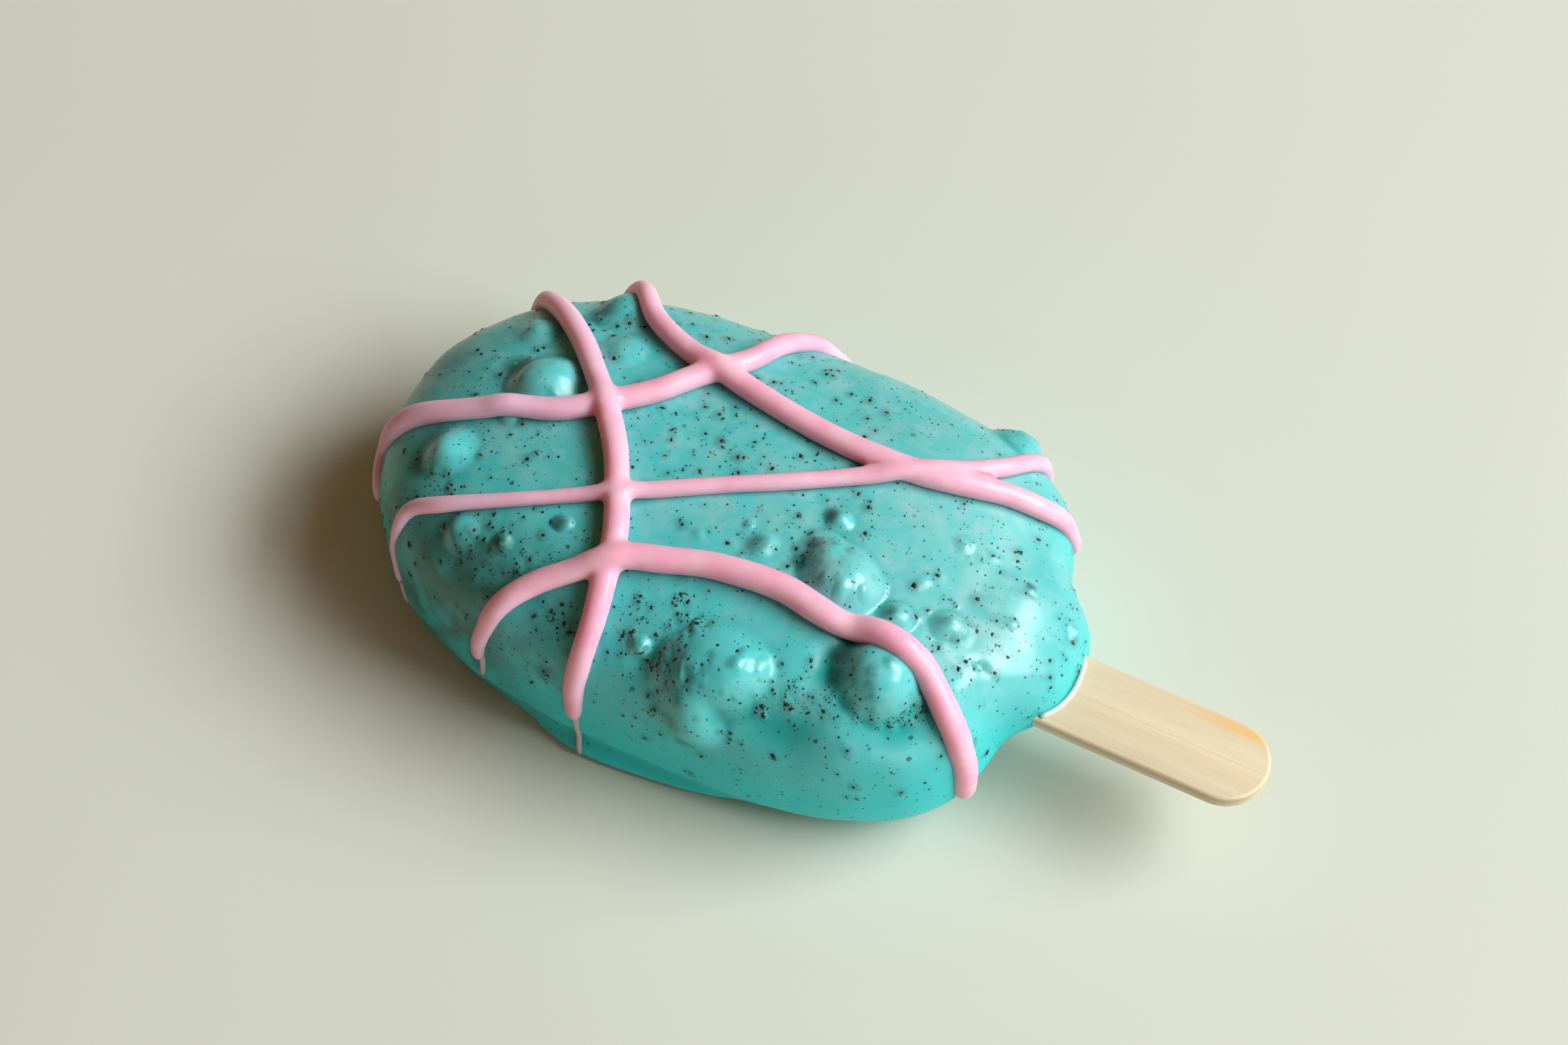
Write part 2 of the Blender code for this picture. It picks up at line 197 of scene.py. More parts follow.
# %% [markdown]
# ## Lumps, nubs and crumbs
#
# Big crumbs of cake and biscuit lie under the glaze and lift it. Each lump is a place on the
# bar, a radius and a height, and a power that makes its side steeper. Some are longer one way,
# and a little noise makes each outline uneven. A row that ends early is a plain round one, and
# a negative height is a hollow. The places were read off. Sculpting would do as well, but
# numbers can be changed one at a time, and the solids use nearly the same ones.

# %% The lumps, large and small
LUMPS = (
    # x, y, z, radius and height in millimetres, power, stretch, bearing of the long side
    (27.0, -13.2, 22.8, 5.5, 3.4, 2.5, 1.08),
    (18.3, -5.4, 25.0, 4.9, 2.6, 2.6, 1.12, -15),
    (14.6, -3.0, 25.2, 2.8, 1.0, 2.2, 1.2, 60),
    (14.8, 1.1, 25.3, 1.8, 0.9),
    (8.6, -5.7, 25.4, 2.0, 0.7, 2.0, 1.2, 60),
    (10.2, -20.6, 22.0, 5.9, 2.7, 2.2, 1.28, 27),
    (13.4, -18.7, 22.7, 2.9, 0.5, 2.0, 1.2, 27),
    (9.7, -25.0, 17.4, 4.1, 1.9, 2.0, 1.25, -60),
    (25.4, -6.4, 23.9, 2.1, 1.1, 2.6, 1.1, 27),
    (30.2, -4.1, 22.7, 2.0, 1.0, 2.6, 1.1, 27),
    (-29.0, -9.0, 22.3, 3.8, 1.7),
    (-22.9, -17.2, 21.6, 2.5, 1.2, 2.0, 1.2, 90),
    (-23.0, 2.8, 24.3, 4.7, 2.5, 2.4, 1.1, 40),
    (-20.3, 17.2, 21.7, 4.6, 2.2),
    (-17.2, 10.6, 24.2, 3.3, 0.8),
    (-27.7, 9.9, 22.3, 2.9, 0.8),
    (26.4, 23.5, 16.8, 3.4, 2.0, 2.0, 1.3),
    (34.6, -8.7, 20.4, 3.0, 0.4),
    (35.0, 2.0, 20.4, 4.5, 0.5, 2.0, 1.3, 90),
    (-14.5, -22.8, 19.6, 4.5, 0.6),
    (19.7, -22.6, 18.8, 5.5, -0.7, 2.0, 1.2),
    (21.4, -14.2, 23.5, 3.2, -0.7, 2.0, 1.5, 70),
    (3.2, -21.6, 21.5, 2.6, -0.5, 2.0, 1.5, 70),
    (22.4, -10.5, 24.1, 2.3, -1.0),
)
NUBS = (
    (-17.7, -17.1, 22.8, 1.4, 0.7, 2.4, 1.1, 30),
    (-12.4, -12.7, 24.6, 1.2, 0.5, 3.0, 1.3, 10),
    (-24.6, -2.6, 24.0, 1.5, 0.8),
    (1.6, -21.2, 21.8, 1.5, 0.65, 2.6),
    (13.1, -18.6, 23.0, 1.0, 0.22, 2.0, 1.7, 100),
    (15.3, -18.3, 23.0, 1.0, 0.24, 2.0, 1.7, 100),
    (19.6, -7.6, 25.3, 1.1, 0.3, 2.0, 1.6, 100),
    (22.0, -6.4, 25.0, 1.0, 0.35, 2.0, 1.3, 100),
    (35.0, 5.4, 20.8, 0.8, 0.3),
    (35.0, -0.1, 21.0, 0.8, 0.25),
    (41.2, 5.0, 17.0, 1.3, 0.5),
    (27.4, 5.6, 23.4, 1.3, 0.3),
    (6.2, -4.0, 25.6, 0.9, 0.25),
    (1.8, -7.4, 25.4, 1.1, 0.2),
    (34.9, -6.1, 20.6, 1.2, -0.3),
    (26.0, -1.0, 24.0, 1.1, 0.2),
)
WOBBLE = 0.1
Lump = namedtuple("Lump", "middle, axis, along, radius, height, power, stretch")


def placed(x, y, z, radius, height, power=2.0, stretch=1.0, bearing=0):
    """A lump's middle on the smooth surface, its directions out and along, its sizes in metres."""
    middle = onto_bar(Vector((x, y, z)) * MM)
    axis = outward(middle)
    along = Vector((math.cos(math.radians(bearing)), math.sin(math.radians(bearing)), 0.0))
    along = (along - axis * along.dot(axis)).normalized()
    return Lump(middle, axis, along, radius * MM, height * MM, power, stretch)


def lump_rise(point, lump):
    """How far a lump lifts a point of the smooth bar: a dome with an uneven outline."""
    middle, axis, along, radius, height, power, stretch = lump
    offset = point - middle
    level = offset.dot(axis)
    long = offset.dot(along)
    wide = (offset - axis * level - along * long).length
    reach = math.hypot(long / stretch, wide) / radius
    reach *= 1 + WOBBLE * noise.noise(point / radius)
    return height * (1 - reach**power) ** 2 if reach < 1 and abs(level) < radius else 0.0


lumps = [placed(*lump) for lump in LUMPS]
nubs = [placed(*nub) for nub in NUBS]
print(len(lumps), "lumps and", len(nubs), "nubs")

# %% [markdown]
# Between the lumps lie over two thousand finer crumbs. The largest are little heaps of grains
# with named places. The rest are drawn at random from a fixed seed, so that every run gives
# the same bar: half of them round crowded patches, the others anywhere. Many are small and
# few are large. Each lifts the glaze a little and stains it, with a halo that is partly painted contact
# shade.

# %% Draw the crumbs
CRUMB_SEED = 11
CRUMB_COUNT = 2100
HEAPS = (
    # x, y, z and radius of each heap, in millimetres
    (6.3, -4.0, 25.5, 0.6), (6.3, -1.6, 25.5, 0.45), (10.2, -1.8, 25.4, 0.45), (17.9, 0.6, 24.9, 0.5),
    (26.4, 7.6, 23.4, 0.5), (28.6, -1.2, 22.9, 0.6), (29.6, 5.1, 22.5, 0.45), (24.4, -5.0, 24.0, 0.45),
    (26.4, 1.2, 23.6, 0.4), (23.6, -17.6, 22.4, 0.6), (20.9, -19.5, 21.4, 0.45),
    (18.8, -18.2, 22.4, 0.65), (17.0, -21.7, 20.3, 0.8), (20.9, -21.7, 19.6, 0.6),
    (-0.5, -17.4, 23.5, 0.85), (3.7, -15.1, 24.2, 0.8), (6.4, -16.7, 23.7, 0.8), (5.6, -18.0, 23.2, 0.6),
    (7.8, -17.0, 23.6, 0.5), (1.9, -23.5, 19.4, 0.6), (7.2, -22.0, 21.2, 0.7), (8.5, -23.0, 20.4, 0.5),
    (5.2, -25.0, 16.3, 0.7), (6.6, -25.5, 10.1, 0.5), (10.1, -25.3, 7.1, 0.8), (15.6, -25.0, 9.4, 0.5),
    (-15.2, -15.5, 23.5, 0.5), (-14.8, -16.9, 23.1, 0.55), (-9.2, -13.4, 24.5, 0.45),
    (-14.7, -19.1, 22.2, 0.5), (-19.8, -18.9, 21.3, 0.45), (-32.1, -0.2, 21.9, 0.5),
    (-30.0, 4.3, 22.5, 0.5), (-19.5, -2.6, 24.8, 0.4), (-19.3, -6.0, 24.6, 0.5),
    (-12.6, -5.9, 25.2, 0.45), (-17.8, 9.1, 24.5, 0.6), (29.4, -16.4, 21.1, 0.5),
    (26.2, -18.0, 21.3, 0.7), (25.0, -16.4, 22.6, 0.5), (-8.0, -25.6, 14.5, 0.9), (-3.6, 1.6, 25.6, 0.5),
    (-1.4, 2.4, 25.6, 0.5), (34.3, -14.6, 19.6, 0.5),
)
PATCHES = (
    # x, y and spread of each patch, in millimetres
    (4.7, -15.8, 3.0), (0.6, -16.0, 3.5), (11.0, -3.0, 3.0), (5.0, -23.2, 2.5), (7.6, -25.8, 3.0),
    (-8.3, -25.9, 3.0), (20.0, -18.4, 3.0), (21.0, -20.9, 4.0), (34.8, -16.8, 2.2), (34.4, -13.6, 1.8),
    (-5.4, 1.6, 3.5), (0.0, 6.0, 4.5), (9.3, -2.2, 3.5), (-15.0, -17.5, 4.0), (-26.8, -15.8, 5.0),
    (-25.3, 6.5, 5.0), (5.5, 13.6, 7.0), (37.0, -5.4, 4.0), (-19.0, -21.6, 5.0), (28.0, 0.5, 6.0),
    (-17.0, -6.0, 5.0), (-20.0, 15.0, 5.0),
)
PATCH_SHARE = 0.55
PATCH_START = 22.0
GRAINS_PER_MM = 14
GRAIN_SCATTER = 0.45
GRAIN_SIZES = (0.2, 0.42)
CRUMB_LEAST, CRUMB_RANGE, CRUMB_POWER = 0.12, 0.42, 3

draw = random.Random(CRUMB_SEED)
crumbs = []
for x, y, z, radius in HEAPS:
    for _ in range(round(GRAINS_PER_MM * radius)):
        off = Vector([draw.gauss(0, GRAIN_SCATTER * radius) for _ in range(3)])
        place = onto_bar((Vector((x, y, z)) + off) * MM)
        crumbs.append((place, draw.uniform(*GRAIN_SIZES) * radius * MM))
for _ in range(CRUMB_COUNT):
    if draw.random() < PATCH_SHARE:
        along, across, spread = draw.choice(PATCHES)
        start = Vector((draw.gauss(along, spread), draw.gauss(across, spread), PATCH_START)) * MM
    else:
        way = Vector([draw.gauss(0, 1) for _ in range(3)]).normalized()
        up = BELLY_HEIGHT + abs(way.z) * CROWN_RISE
        start = Vector((way.x * FRONT_REACH, way.y * HALF_WIDTH, up))
    size = CRUMB_LEAST + CRUMB_RANGE * draw.random() ** CRUMB_POWER
    crumbs.append((onto_bar(start), size * MM))
print(len(crumbs), "crumbs, the largest", mm(2 * max(size for _, size in crumbs)), "mm across")

# %% [markdown]
# ## The glaze as one fine skin
#
# A box is cut into a fine grid and every point of it is slid onto the bar. That keeps the
# faces even, with no pole on top as a sphere would have. Near steep lumps the faces are split
# once more, and near nubs twice, so that the detail costs faces only where it is.

# %% A box cut into a fine grid
GLAZE_GRID = (150, 98, 46)

glaze_shape = bmesh.new()
bmesh.ops.create_cube(glaze_shape, size=2.0)
for axis, count in enumerate(GLAZE_GRID):
    along = [e for e in glaze_shape.edges if abs((e.verts[0].co - e.verts[1].co)[axis]) > 1.0]
    bmesh.ops.subdivide_edges(glaze_shape, edges=along, cuts=count - 1, use_grid_fill=True)
for vert in glaze_shape.verts:
    spread = [math.tan(c * math.pi / 4) for c in vert.co]
    start = Vector((spread[0] * BACK_REACH, spread[1] * HALF_WIDTH, spread[2] * CROWN_RISE))
    vert.co = onto_bar(TURN @ (start + MIDDLE))
print("The even grid has", len(glaze_shape.faces), "faces")

# %% Finer faces near lumps and nubs
STEEP = 0.3
LUMP_MARGIN, NUB_MARGIN = 0.5 * MM, 0.3 * MM


def point_tree(shape):
    """Number a shape's points, and sort them into a tree that finds the ones near a place."""
    tree = kdtree.KDTree(len(shape.verts))
    for index, vert in enumerate(shape.verts):
        vert.index = index
        tree.insert(vert.co, index)
    tree.balance()
    return tree


def split_near(shape, lumps, margin):
    """Split the edges under these lumps and within the margin, and keep them on the bar."""
    tree = point_tree(shape)
    near = set()
    for lump in lumps:
        reach = lump.radius * lump.stretch + margin
        near.update(index for _, index, _ in tree.find_range(lump.middle, reach))
    edges = [e for e in shape.edges if e.verts[0].index in near and e.verts[1].index in near]
    made = bmesh.ops.subdivide_edges(shape, edges=edges, cuts=1, use_grid_fill=True)
    for part in made["geom_inner"]:
        if isinstance(part, bmesh.types.BMVert):
            part.co = onto_bar(part.co)


split_near(glaze_shape, [lump for lump in lumps + nubs if lump.height > STEEP * lump.radius], LUMP_MARGIN)
split_near(glaze_shape, nubs, NUB_MARGIN)
print("The glaze has", len(glaze_shape.faces), "faces")

# %% [markdown]
# Now the relief: the lumps and nubs, a small rise over each crumb, and the low, slow
# unevenness that any dipped glaze sets with. The same pass writes a stain for each point, from
# 0 to 1, which the colour reads later. It is partly real, where crumbs show through the glaze,
# and partly painted shade that darkens the steep shaded flank of a lump and the valleys beside it.

# %% Push the relief out of the smooth form
# The length and the height of each slow unevenness, and how high up it is full
RIPPLES = ((10 * MM, 0.3 * MM), (4 * MM, 0.1 * MM), (1.6 * MM, 0.02 * MM))
RIPPLE_FADE = 4 * MM
# Stains and painted shade: many of these sit on the shaded left flank of a lump or in a shaded valley.
STAINS_AND_SHADES = (
    # x, y, z and radius in millimetres, and strength
    (12.9, -5.8, 25.2, 1.4, 0.8), (13.7, -3.2, 25.3, 1.3, 0.9), (8.3, -5.6, 25.4, 1.4, 0.6),
    (5.6, -20.8, 22.2, 1.6, 0.5), (6.2, -22.6, 20.4, 1.6, 0.6), (7.9, -24.8, 16.6, 1.5, 0.6),
    (8.9, -25.4, 13.4, 1.2, 0.5), (22.6, -15.6, 23.0, 1.5, 0.6), (22.0, -13.4, 23.8, 1.7, 0.75),
    (25.0, -17.6, 21.8, 1.1, 0.4), (28.3, -18.0, 20.8, 1.0, 0.35), (-31.6, -11.0, 20.6, 2.0, 0.7),
    (-26.7, 3.6, 23.3, 2.4, 0.95), (-25.0, -17.4, 20.8, 1.4, 0.6), (-17.8, -17.2, 22.9, 1.25, 1.0),
    (-12.6, -12.8, 24.6, 1.15, 0.9), (-23.5, 14.8, 22.6, 2.3, 0.7), (24.2, -6.4, 24.0, 1.1, 0.7),
    (29.3, -4.2, 22.8, 0.9, 0.45), (13.5, 1.3, 25.3, 1.3, 0.9), (0.9, -20.9, 22.0, 1.3, 0.6),
    (34.8, 5.6, 20.8, 0.7, 0.8), (-8.3, -25.9, 15.0, 2.0, 0.6), (-26.2, -2.9, 23.6, 1.1, 0.6),
    (-32.5, -15.0, 17.0, 3.0, 0.6), (-35.0, 4.0, 19.0, 4.0, 0.35), (-13.2, -20.5, 22.0, 2.6, 0.4),
)
LUMP_SEARCH = 1.45
HALO = 1.9
HALO_FULL = 1.1 * MM
CRUMB_RISE = 0.3

smooth_tree = point_tree(glaze_shape)
relief = np.zeros(len(glaze_shape.verts))
stain_and_shade = np.zeros(len(glaze_shape.verts))
for lump in lumps + nubs:
    for point, index, _ in smooth_tree.find_range(lump.middle, LUMP_SEARCH * lump.radius * lump.stretch):
        relief[index] += lump_rise(point, lump)
for place, size in crumbs:
    for point, index, distance in smooth_tree.find_range(place, HALO * size):
        share = 1 - (distance / (HALO * size)) ** 2
        relief[index] += CRUMB_RISE * size * share**2
        stain_and_shade[index] = max(stain_and_shade[index], size / HALO_FULL * share)
for x, y, z, radius, strength in STAINS_AND_SHADES:
    middle = onto_bar(Vector((x, y, z)) * MM)
    for point, index, distance in smooth_tree.find_range(middle, radius * MM):
        stain_and_shade[index] = max(stain_and_shade[index], strength * (1 - (distance / (radius * MM)) ** 2))
for index, vert in enumerate(glaze_shape.verts):
    ripple = sum(height * noise.noise(vert.co / length) for length, height in RIPPLES)
    relief[index] += ripple * min(1.0, max(0.0, vert.co.z / RIPPLE_FADE))
print("The relief runs from", mm(relief.min()), "to", mm(relief.max()), "mm")

# %% [markdown]
# Glaze runs off the lumps and pools between them, where it is thicker and its colour deeper.
# Spreading the relief out over the mesh, many small steps at a time, gives the mean height
# round each point. Where that mean is above the point itself, glaze has pooled. The colour
# reads this as well: the hollows get a deeper teal that is partly thicker glaze and partly painted shade,
# and the raised places a little painted sheen.

# %% Find where glaze pools, and move the points
SPREAD_PASSES = 60
POOL_DEPTH = 0.9 * MM


def joined_pairs(shape):
    """The numbers of the two points of each edge."""
    return np.array([(e.verts[0].index, e.verts[1].index) for e in shape.edges])


def spread_out(values, pairs, passes):
    """Share each point's value with the points that it is joined to, that many times over."""
    links = np.bincount(pairs.ravel(), minlength=len(values))
    first, second = pairs.T
    for _ in range(passes):
        near = np.bincount(first, values[second], len(values))
        near += np.bincount(second, values[first], len(values))
        values = (values + near / links) / 2
    return values


spread = spread_out(relief, joined_pairs(glaze_shape), SPREAD_PASSES)
pool = np.clip((spread - relief) / POOL_DEPTH, -1.0, 1.0)
for index, vert in enumerate(glaze_shape.verts):
    rise = outward(vert.co) * relief[index]
    vert.co = with_nose_and_lip(vert.co) + rise
bmesh.ops.recalc_face_normals(glaze_shape, faces=glaze_shape.faces)
glaze_tree = BVHTree.FromBMesh(glaze_shape)
print("The highest lump is", mm(max(v.co.z for v in glaze_shape.verts)), "mm up")

# %% [markdown]
# Every finished piece goes through one function. It puts the piece where the bar is, in its
# mesh and not in the object's place, so that a pattern in object coordinates stays with it,
# and says which body it rides on. Another function keeps a number for
# each point of a piece, for its finish to read.

# %% Turn a shape into a finished piece
def new_object(name, data):
    """Put data in the scene as an object. A bmesh becomes a mesh first."""
    if isinstance(data, bmesh.types.BMesh):
        shape, data = data, bpy.data.meshes.new(name)
        shape.to_mesh(data)
        shape.free()
    made = bpy.data.objects.new(name, data)
    bpy.context.scene.collection.objects.link(made)
    return made


def finished(name, shape):
    """Make an object of a bmesh in the bar's coordinates, and hand it to the frame."""
    bmesh.ops.translate(shape, verts=shape.verts, vec=BAR_PLACE)
    piece = new_object(name, shape)
    piece.data.shade_smooth()
    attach(piece, "root")
    print(name, "has", sum(len(f.vertices) - 2 for f in piece.data.polygons), "triangles")
    return piece


def keep_numbers(piece, name, values):
    """Keep a number for each point of a piece, under a name."""
    piece.data.attributes.new(name, "FLOAT", "POINT").data.foreach_set("value", values)


glaze = finished("glaze", glaze_shape)
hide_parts("coated_bar")
keep_numbers(glaze, "stain_and_shade", stain_and_shade)
keep_numbers(glaze, "pool", pool)

# %% [markdown]
# ## Strands of icing
#
# A piping bag lays a round rope of icing that sags into hollows and rides over lumps, and
# where two ropes cross the soft icing flows together. Each strand starts as a row of places
# on the bar. A smooth curve goes through them, is dropped onto the glaze, and is pulled a
# little taut. A real bevelled curve then makes the tube.

# %% The strands and the places that they run over
STRANDS = {
    # x, y, z and radius of each place, in millimetres
    "back": (
        (-36.7, -12.2, 10.5, 0.8), (-37.4, -10.8, 13.0, 0.95), (-38.2, -8.2, 14.7, 1.0),
        (-37.3, -7.0, 17.6, 1.15), (-34.7, -5.6, 20.3, 1.25), (-29.9, -4.1, 22.6, 1.25),
        (-24.3, -2.1, 24.1, 1.3), (-18.9, -0.2, 24.9, 1.35), (-14.4, 3.2, 25.2, 1.35),
        (-11.1, 6.1, 25.3, 1.35), (-8.9, 8.9, 25.2, 1.35), (-6.3, 12.2, 24.8, 1.35),
        (-3.6, 15.5, 24.1, 1.3), (-1.9, 19.6, 22.3, 1.2), (1.0, 23.5, 19.0, 1.05), (4.6, 25.6, 12.8, 0.9),
    ),
    "down": (
        (-31.2, 15.8, 13.8, 1.0), (-29.8, 15.2, 17.3, 1.1), (-27.7, 13.9, 20.2, 1.2),
        (-25.0, 12.1, 22.4, 1.3), (-21.5, 9.2, 23.9, 1.35), (-18.3, 6.0, 24.7, 1.35),
        (-15.0, 2.4, 25.2, 1.4), (-11.8, -1.5, 25.4, 1.45), (-9.8, -4.6, 25.4, 1.45),
        (-7.1, -9.6, 25.2, 1.45), (-5.6, -13.2, 24.7, 1.45), (-4.6, -17.5, 23.5, 1.4),
        (-4.0, -20.7, 22.0, 1.35), (-4.0, -23.4, 19.7, 1.3), (-4.3, -25.3, 16.1, 1.3),
        (-4.4, -25.9, 12.4, 1.15), (-4.6, -25.8, 8.0, 0.8),
    ),
    "far": (
        (-22.6, 21.3, 14.3, 0.95), (-21.6, 20.3, 17.9, 1.05), (-18.7, 18.3, 21.3, 1.15),
        (-16.2, 16.2, 22.9, 1.2), (-12.8, 14.3, 24.0, 1.27), (-9.3, 12.9, 24.5, 1.3),
        (-5.7, 12.1, 24.8, 1.35), (-1.7, 11.3, 25.0, 1.35), (3.5, 10.5, 25.2, 1.33),
        (8.9, 10.0, 25.2, 1.35), (13.6, 9.8, 25.0, 1.4), (19.1, 10.2, 24.5, 1.4), (24.0, 11.6, 23.7, 1.4),
        (28.5, 13.5, 22.2, 1.3), (32.2, 14.8, 20.3, 1.25), (35.0, 16.3, 17.4, 1.1),
        (36.5, 16.9, 13.8, 0.9), (37.0, 17.0, 11.4, 0.55),
    ),
    "thin": (
        (-30.3, -19.1, 7.8, 0.6), (-31.4, -18.3, 11.0, 0.5), (-31.5, -18.1, 13.8, 0.55),
        (-30.9, -17.4, 16.9, 0.7), (-29.3, -15.9, 19.7, 0.88), (-25.9, -15.1, 21.6, 0.97),
        (-22.2, -13.8, 23.0, 0.86), (-17.4, -11.8, 24.2, 0.85), (-11.8, -9.0, 25.1, 0.9),
        (-8.3, -7.2, 25.4, 1.0), (-4.4, -4.9, 25.5, 1.0), (2.0, -0.9, 25.6, 0.97), (7.3, 2.2, 25.5, 1.0),
        (12.6, 5.7, 25.3, 1.02), (19.0, 10.0, 24.6, 1.1), (23.5, 13.0, 23.6, 1.15),
        (26.8, 16.5, 22.1, 1.12), (28.7, 19.8, 19.9, 1.05), (29.7, 22.2, 16.8, 0.95),
        (30.3, 23.0, 13.1, 0.8),
    ),
    "near": (
        (-17.3, -24.5, 9.6, 0.75), (-17.1, -24.5, 12.8, 0.95), (-16.3, -24.1, 16.3, 1.05),
        (-14.5, -22.1, 20.1, 1.25), (-11.7, -19.5, 22.3, 1.35), (-8.3, -17.0, 23.6, 1.4),
        (-5.8, -15.0, 24.3, 1.45), (-3.1, -13.4, 24.7, 1.5), (-0.5, -12.5, 24.8, 1.5),
        (4.4, -10.9, 25.1, 1.48), (9.2, -10.0, 25.1, 1.52), (13.6, -9.7, 25.0, 1.6),
        (17.6, -10.2, 24.7, 1.6), (20.5, -10.3, 24.3, 1.45), (23.8, -9.8, 23.9, 1.52),
        (26.8, -9.9, 23.2, 1.5), (29.9, -10.3, 22.2, 1.45), (32.2, -11.5, 21.1, 1.45),
        (34.1, -12.7, 19.7, 1.5), (36.2, -13.7, 17.3, 1.48), (37.5, -14.0, 13.5, 1.48),
        (37.7, -14.0, 10.0, 1.4), (37.4, -13.6, 6.0, 1.2),
    ),
}
print(len(STRANDS), "strands")

# %% [markdown]
# The curve through the places is a Catmull-Rom curve: it passes through every place, and each
# stretch is steered by the two places beyond it. Points are then taken at even steps.

# %% A smooth curve through places
STRAND_STEP = 0.6 * MM
FINE_STEPS = 8


def curve_point(before, start, end, after, share):
    """A point on the smooth curve from start to end, which the places outside them steer."""
    run = (end - before) * share
    bend = (2 * before - 5 * start + 4 * end - after) * share**2
    twist = (3 * start - before - 3 * end + after) * share**3
    return (2 * start + run + bend + twist) / 2


def smooth_route(places):
    """Points at even steps on a smooth curve through the places."""
    knots = [2 * places[0] - places[1], *places, 2 * places[-1] - places[-2]]
    fine = []
    for before, start, end, after in zip(knots, knots[1:], knots[2:], knots[3:]):
        count = max(2, round(FINE_STEPS * (end - start).length / STRAND_STEP))
        fine.extend(curve_point(before, start, end, after, n / count) for n in range(count))
    fine.append(places[-1])
    route, run = [fine[0]], 0.0
    for last, point in zip(fine, fine[1:]):
        run += (point - last).length
        if run >= STRAND_STEP:
            route.append(point)
            run = 0.0
    return route


back_line = smooth_route([Vector(place) * MM for place in STRANDS["back"]])
print("The back strand has", len(back_line), "points")

# %% [markdown]
# The dropped line follows every crumb, which icing is too stiff to do. So its height over the
# smooth bar is first raised, in a few passes, to the mean of its neighbours wherever it is
# lower, and then evened out. On top a strand stays a plump rope, and on the walls it sags
# flatter against the glaze.

# %% Lay a strand over the glaze
STRAND_LIFT = 0.72
WALL, TOP = 0.3, 0.85
STRAND_TAPER = 1.2 * MM
STRAND_END = 0.3
TAUT_PASSES = 3
EVEN_PASSES = 3
PROBE = 9 * MM
SWELL, SWELL_LENGTH = 0.05, 6 * MM
CROSS_SHARE = 0.3
PLUMP = 0.08 * MM


def strand_route(places, under=None, lift=STRAND_LIFT, plump=PLUMP):
    """A strand's middle line over the glaze and the strands under it, with its radius there."""
    route = smooth_route([Vector(place) * MM for place in places])
    feet = [onto_bar(point.to_3d()) for point in route]
    normals = [outward(foot) for foot in feet]
    heights = []
    for foot, normal in zip(feet, normals):
        start = foot + normal * PROBE
        hit = glaze_tree.ray_cast(start, -normal)[0]
        height = (hit - foot).dot(normal) if hit else 0.0
        crossed = under.ray_cast(start, -normal)[0] if under else None
        if crossed:
            height += CROSS_SHARE * max(0.0, (crossed - foot).dot(normal) - height)
        heights.append(height)
    for _ in range(TAUT_PASSES):
        for index in range(1, len(heights) - 1):
            heights[index] = max(heights[index], (heights[index - 1] + heights[index + 1]) / 2)
    for _ in range(EVEN_PASSES):
        inner = [(a + 2 * b + c) / 4 for a, b, c in zip(heights, heights[1:], heights[2:])]
        heights = [heights[0], *inner, heights[-1]]
    laid = []
    for point, foot, normal, height in zip(route, feet, normals, heights):
        level = min(1.0, max(0.0, (normal.z - WALL) / (TOP - WALL)))
        gap = min((foot - feet[0]).length, (foot - feet[-1]).length)
        size = point.w * (1 + SWELL * noise.noise(foot / SWELL_LENGTH)) + plump
        size *= math.sqrt(min(1.0, STRAND_END + gap / STRAND_TAPER))
        laid.append((foot + normal * (height + lift * level**2 * (3 - 2 * level) * size), size))
    return laid


back_top = max(place.z for place, _ in strand_route(STRANDS["back"]))
print("Its middle line rises to", mm(back_top), "mm")

# %% [markdown]
# Five tubes that only pass through each other would show hard creases at the crossings. A
# voxel remesh rebuilds them as one skin, and rounds of smoothing turn the creases into the
# soft webs that real icing has. A Boolean union would keep the creases. Two numbers are kept
# for the colour to paint shade with: how hollow the skin is at a point, which is most in a web,
# and how far it is turned away from the light.

# %% Five tubes as one soft skin
TUBE_ROUNDING = 6
TUBE_MERGE = 0.01 * MM
VOXEL = 0.24 * MM
SOFTEN_SHARE, SOFTEN_PASSES = 0.5, 34
HOLLOW_PASSES = 24
HOLLOW_DEPTH = 0.1 * MM
SHADE_SIDE = (-0.62, -0.4, -0.67)


def tube_shape(routes):
    """Round tubes along the routes, in one bmesh."""
    shape = bmesh.new()
    for route in routes:
        curve = bpy.data.curves.new("tube", "CURVE")
        curve.dimensions = "3D"
        curve.bevel_depth = 1.0
        curve.bevel_resolution = TUBE_ROUNDING
        curve.use_fill_caps = True
        line = curve.splines.new("POLY")
        line.points.add(len(route) - 1)
        for point, (place, size) in zip(line.points, route):
            point.co = (*place, 1.0)
            point.radius = size
        tube = bpy.data.objects.new("tube", curve)
        shape.from_mesh(tube.to_mesh())
        bpy.data.objects.remove(tube)
    bmesh.ops.remove_doubles(shape, verts=shape.verts, dist=TUBE_MERGE)
    bmesh.ops.recalc_face_normals(shape, faces=shape.faces)
    return shape


def fused(shape):
    """Rebuild a shape as one skin by voxels, and smooth it."""
    thing = new_object("fused", shape)
    remesh = thing.modifiers.new("one_skin", "REMESH")
    remesh.mode = "VOXEL"
    remesh.voxel_size = VOXEL
    soften = thing.modifiers.new("soften", "SMOOTH")
    soften.factor = SOFTEN_SHARE
    soften.iterations = SOFTEN_PASSES
    graph = bpy.context.evaluated_depsgraph_get()
    result = bmesh.new()
    result.from_mesh(thing.evaluated_get(graph).to_mesh())
    bpy.data.objects.remove(thing)
    return result


